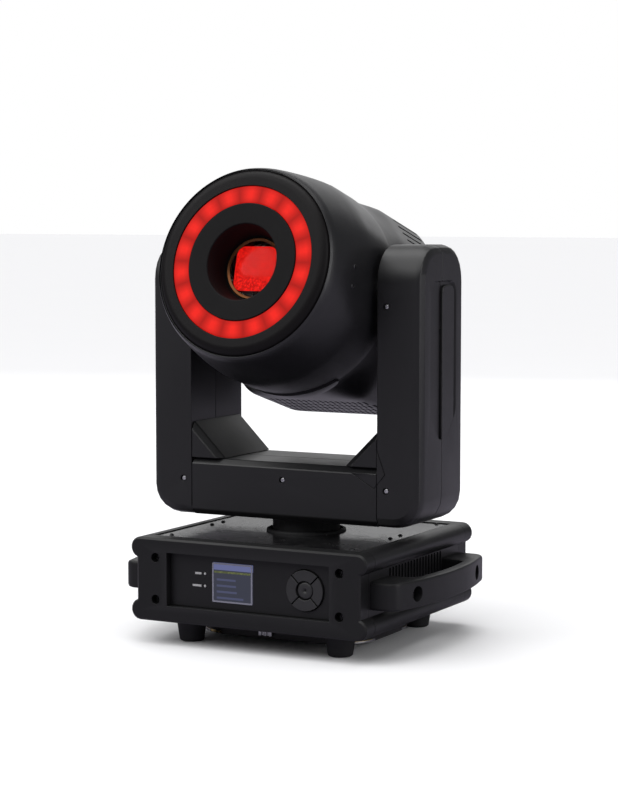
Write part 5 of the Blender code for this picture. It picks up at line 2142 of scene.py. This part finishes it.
@dataclass
class FanGuard:
    """The wire guard over the fan at the back of the head."""

    place: HeadPlace
    back: float = 0.128
    radius: float = 0.037
    wire: float = 0.0011
    rings: int = 4
    spokes: int = 4

    def build(self) -> None:
        """Builds the guard's rings and spokes, and the screws that hold it."""
        wires = []
        inset = self.back - 0.0016
        for i in range(self.rings):
            reach = self.radius * (i + 0.7) / self.rings
            wires.append(self.hoop(reach, inset))
        for i in range(self.spokes):
            bar = drum(self.wire * 0.9, -self.radius, self.radius, 10)
            wires.append(
                moved(
                    bar,
                    at(0, inset - 2.05 * self.wire, 0) @ turn(180 / self.spokes * i + 22.5, "Y") @ turn(
                        90, "X"
                    ),
                )
            )
        rim = rounded(
            [
                (self.radius - 0.0035, -self.back + 0.0022),
                (self.radius - 0.0035, -self.back + 0.0002), (self.radius - GAP, -self.back + 0.0002),
                (self.radius - GAP, -self.back + 0.0022),
            ],
            {1: 0.0008, 2: 0.0008},
        )
        wires.append(turned(rim, 96))
        shape = moved(joined(wires), self.place.matrix)
        finished("fan_guard", shape, Finishes.wire, "rear_housing_top")
        seats = [self.place.matrix @ at(x, self.back - 0.0008, z) @ turn(180, "Z") for x, z in self.corners()]
        finished(
            "fan_guard_screws", Screw(0.003, 0.0008, 0.0005).placed(seats), Finishes.black_screw,
            "rear_housing_top",
        )

    def hoop(self, reach: float, place: float) -> BMesh:
        """One ring of wire about the axis.

        Args:
            reach: the ring's radius.
            place: its place along Y.

        Returns:
            The closed shape.
        """
        shape = bmesh.new()
        bmesh.ops.create_circle(shape, segments=10, radius=self.wire)
        bmesh.ops.translate(shape, verts=shape.verts[:], vec=(reach, 0, 0))
        bmesh.ops.spin(
            shape, geom=shape.verts[:] + shape.edges[:], cent=(0, 0, 0), axis=(0, 1, 0), angle=math.tau,
            steps=72, use_merge=True,
        )
        return moved(shape, at(0, place, 0))

    def corners(self) -> list[tuple[float, float]]:
        """Where the guard's screws are.

        Returns:
            The places as (x, z).
        """
        reach = self.radius + 0.006
        return [
            (reach * math.cos(a), reach * math.sin(a))
            for a in (math.radians(45 + 90 * i) for i in range(4))
        ]


class Internals:
    """The parts inside, which are shown as they were made."""

    def build(self) -> None:
        """Gives every fixed part that still shows its finish."""
        looks = {
            "housing": Finishes.shell, "paint": Finishes.paint, "rubber": Finishes.rubber,
            "steel": Finishes.steel, "zinc": Finishes.zinc, "dark": Finishes.dark,
            "aluminium": Finishes.alloy, "glass": Finishes.lens, "screen": Finishes.dark,
            "ring": Finishes.dark,
        }
        for node, item in frame["nodes"].items():
            if not item.hide_render:
                dress(node, looks[SLOTS[node]])


# ---------------------------------------------------------------------------------------------
# Studio
# ---------------------------------------------------------------------------------------------


@dataclass
class Studio:
    """A pale floor, soft lamps and the camera."""

    azimuth: float = 28.0
    elevation: float = 5.0
    distance: float = 2.338
    aim: Point = (0.0001, 0.0058, 0.2444)
    focal: float = 98.62
    sky_power: float = 3.3
    floor_size: float = 60.0
    floor_shade: Colour = (0.86, 0.86, 0.87)
    floor_dim: Colour = (0.34, 0.32, 0.38)
    backdrop: Colour = (1.0, 1.0, 1.0)
    ambient: float = 0.16

    def build(self, floor: float) -> None:
        """Builds the studio.

        Args:
            floor: the height of the floor.
        """
        self.world()
        self.ground(floor)
        self.sky()
        self.lamp("key", (-1.5, -1.6, 1.9), (1.4, 1.4), 8.0)
        self.lamp("side", (2.2, -0.1, 0.9), (0.7, 1.6), 17.0)
        self.lamp("overhead", (0.0, 0.5, 2.4), (2.2, 1.6), 11.0)
        self.lamp("back", (-0.9, 2.9, 1.5), (3.0, 1.8), 15.0)
        self.camera()
        bpy.context.scene.view_settings.view_transform = "Standard"

    def world(self) -> None:
        """A white backdrop for the camera, and a dim even light for the rest."""
        world = bpy.data.worlds.new("studio")
        world.use_nodes = True
        bpy.context.scene.world = world
        graph = Graph(world.node_tree)
        back = world.node_tree.nodes["Background"]
        seen = graph.add("LightPath").outputs["Is Camera Ray"]
        dim = (self.ambient, self.ambient, self.ambient * 1.03, 1)
        graph.join(graph.blend(seen, dim, (*self.backdrop, 1)), back.inputs["Color"])

    def ground(self, height: float) -> None:
        """The floor, matt and pale.

        Args:
            height: the floor's height.
        """
        shape = bmesh.new()
        bmesh.ops.create_grid(shape, x_segments=8, y_segments=8, size=self.floor_size / 2)
        bmesh.ops.translate(shape, verts=shape.verts[:], vec=(0, 0, height))
        floor = mesh_object("floor", shape)
        floor.data.materials.append(Floor("studio_floor", self.floor_shade, self.floor_dim).material())
        floor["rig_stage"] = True

    def sky(self) -> None:
        """A broad even light from above, which whitens the floor."""
        data = bpy.data.lights.new("sky", "SUN")
        data.energy = self.sky_power
        data.angle = math.radians(90)
        made = bpy.data.objects.new("sky", data)
        made.rotation_euler = (math.radians(20), math.radians(-15), 0)
        bpy.context.scene.collection.objects.link(made)

    def lamp(self, name: str, place: Point, size: tuple[float, float], power: float) -> None:
        """A soft rectangular lamp that faces the middle of the light.

        Args:
            name: the lamp's name.
            place: where it is.
            size: its width and height.
            power: its power in watts.
        """
        data = bpy.data.lights.new(name, "AREA")
        data.shape = "RECTANGLE"
        data.size, data.size_y = size
        data.energy = power
        made = bpy.data.objects.new(name, data)
        made.location = place
        made.visible_camera = False
        made.rotation_mode = "QUATERNION"
        made.rotation_quaternion = (Vector(self.aim) - Vector(place)).to_track_quat("-Z", "Y")
        bpy.context.scene.collection.objects.link(made)

    def camera(self) -> None:
        """The camera, on a line from the aim point at the azimuth and elevation."""
        data = bpy.data.cameras.new("camera")
        data.lens = self.focal
        data.clip_end = 50.0
        made = bpy.data.objects.new("camera", data)
        a, e = math.radians(self.azimuth), math.radians(self.elevation)
        away = Vector((math.sin(a) * math.cos(e), -math.cos(a) * math.cos(e), math.sin(e)))
        made.location = Vector(self.aim) + away * self.distance
        made.rotation_mode = "QUATERNION"
        made.rotation_quaternion = (-away).to_track_quat("-Z", "Y")
        bpy.context.scene.collection.objects.link(made)
        bpy.context.scene.camera = made


def main() -> None:
    """Builds the light's pieces in order, then the studio."""
    logging.basicConfig(level=logging.INFO, format="%(message)s")
    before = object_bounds()
    place = HeadPlace()
    parts = [
        BaseHousing(), Underside(), Handle("left"), Handle("right"), ControlPanel(), RearPanel(), Yoke(),
        HeadShell(place), HeadFront(place), FanGuard(place), Internals(),
    ]
    for part in parts:
        part.build()
        log.info("built %s", type(part).__name__)
    Studio().build(before[0].z)


if __name__ == "__main__":
    main()
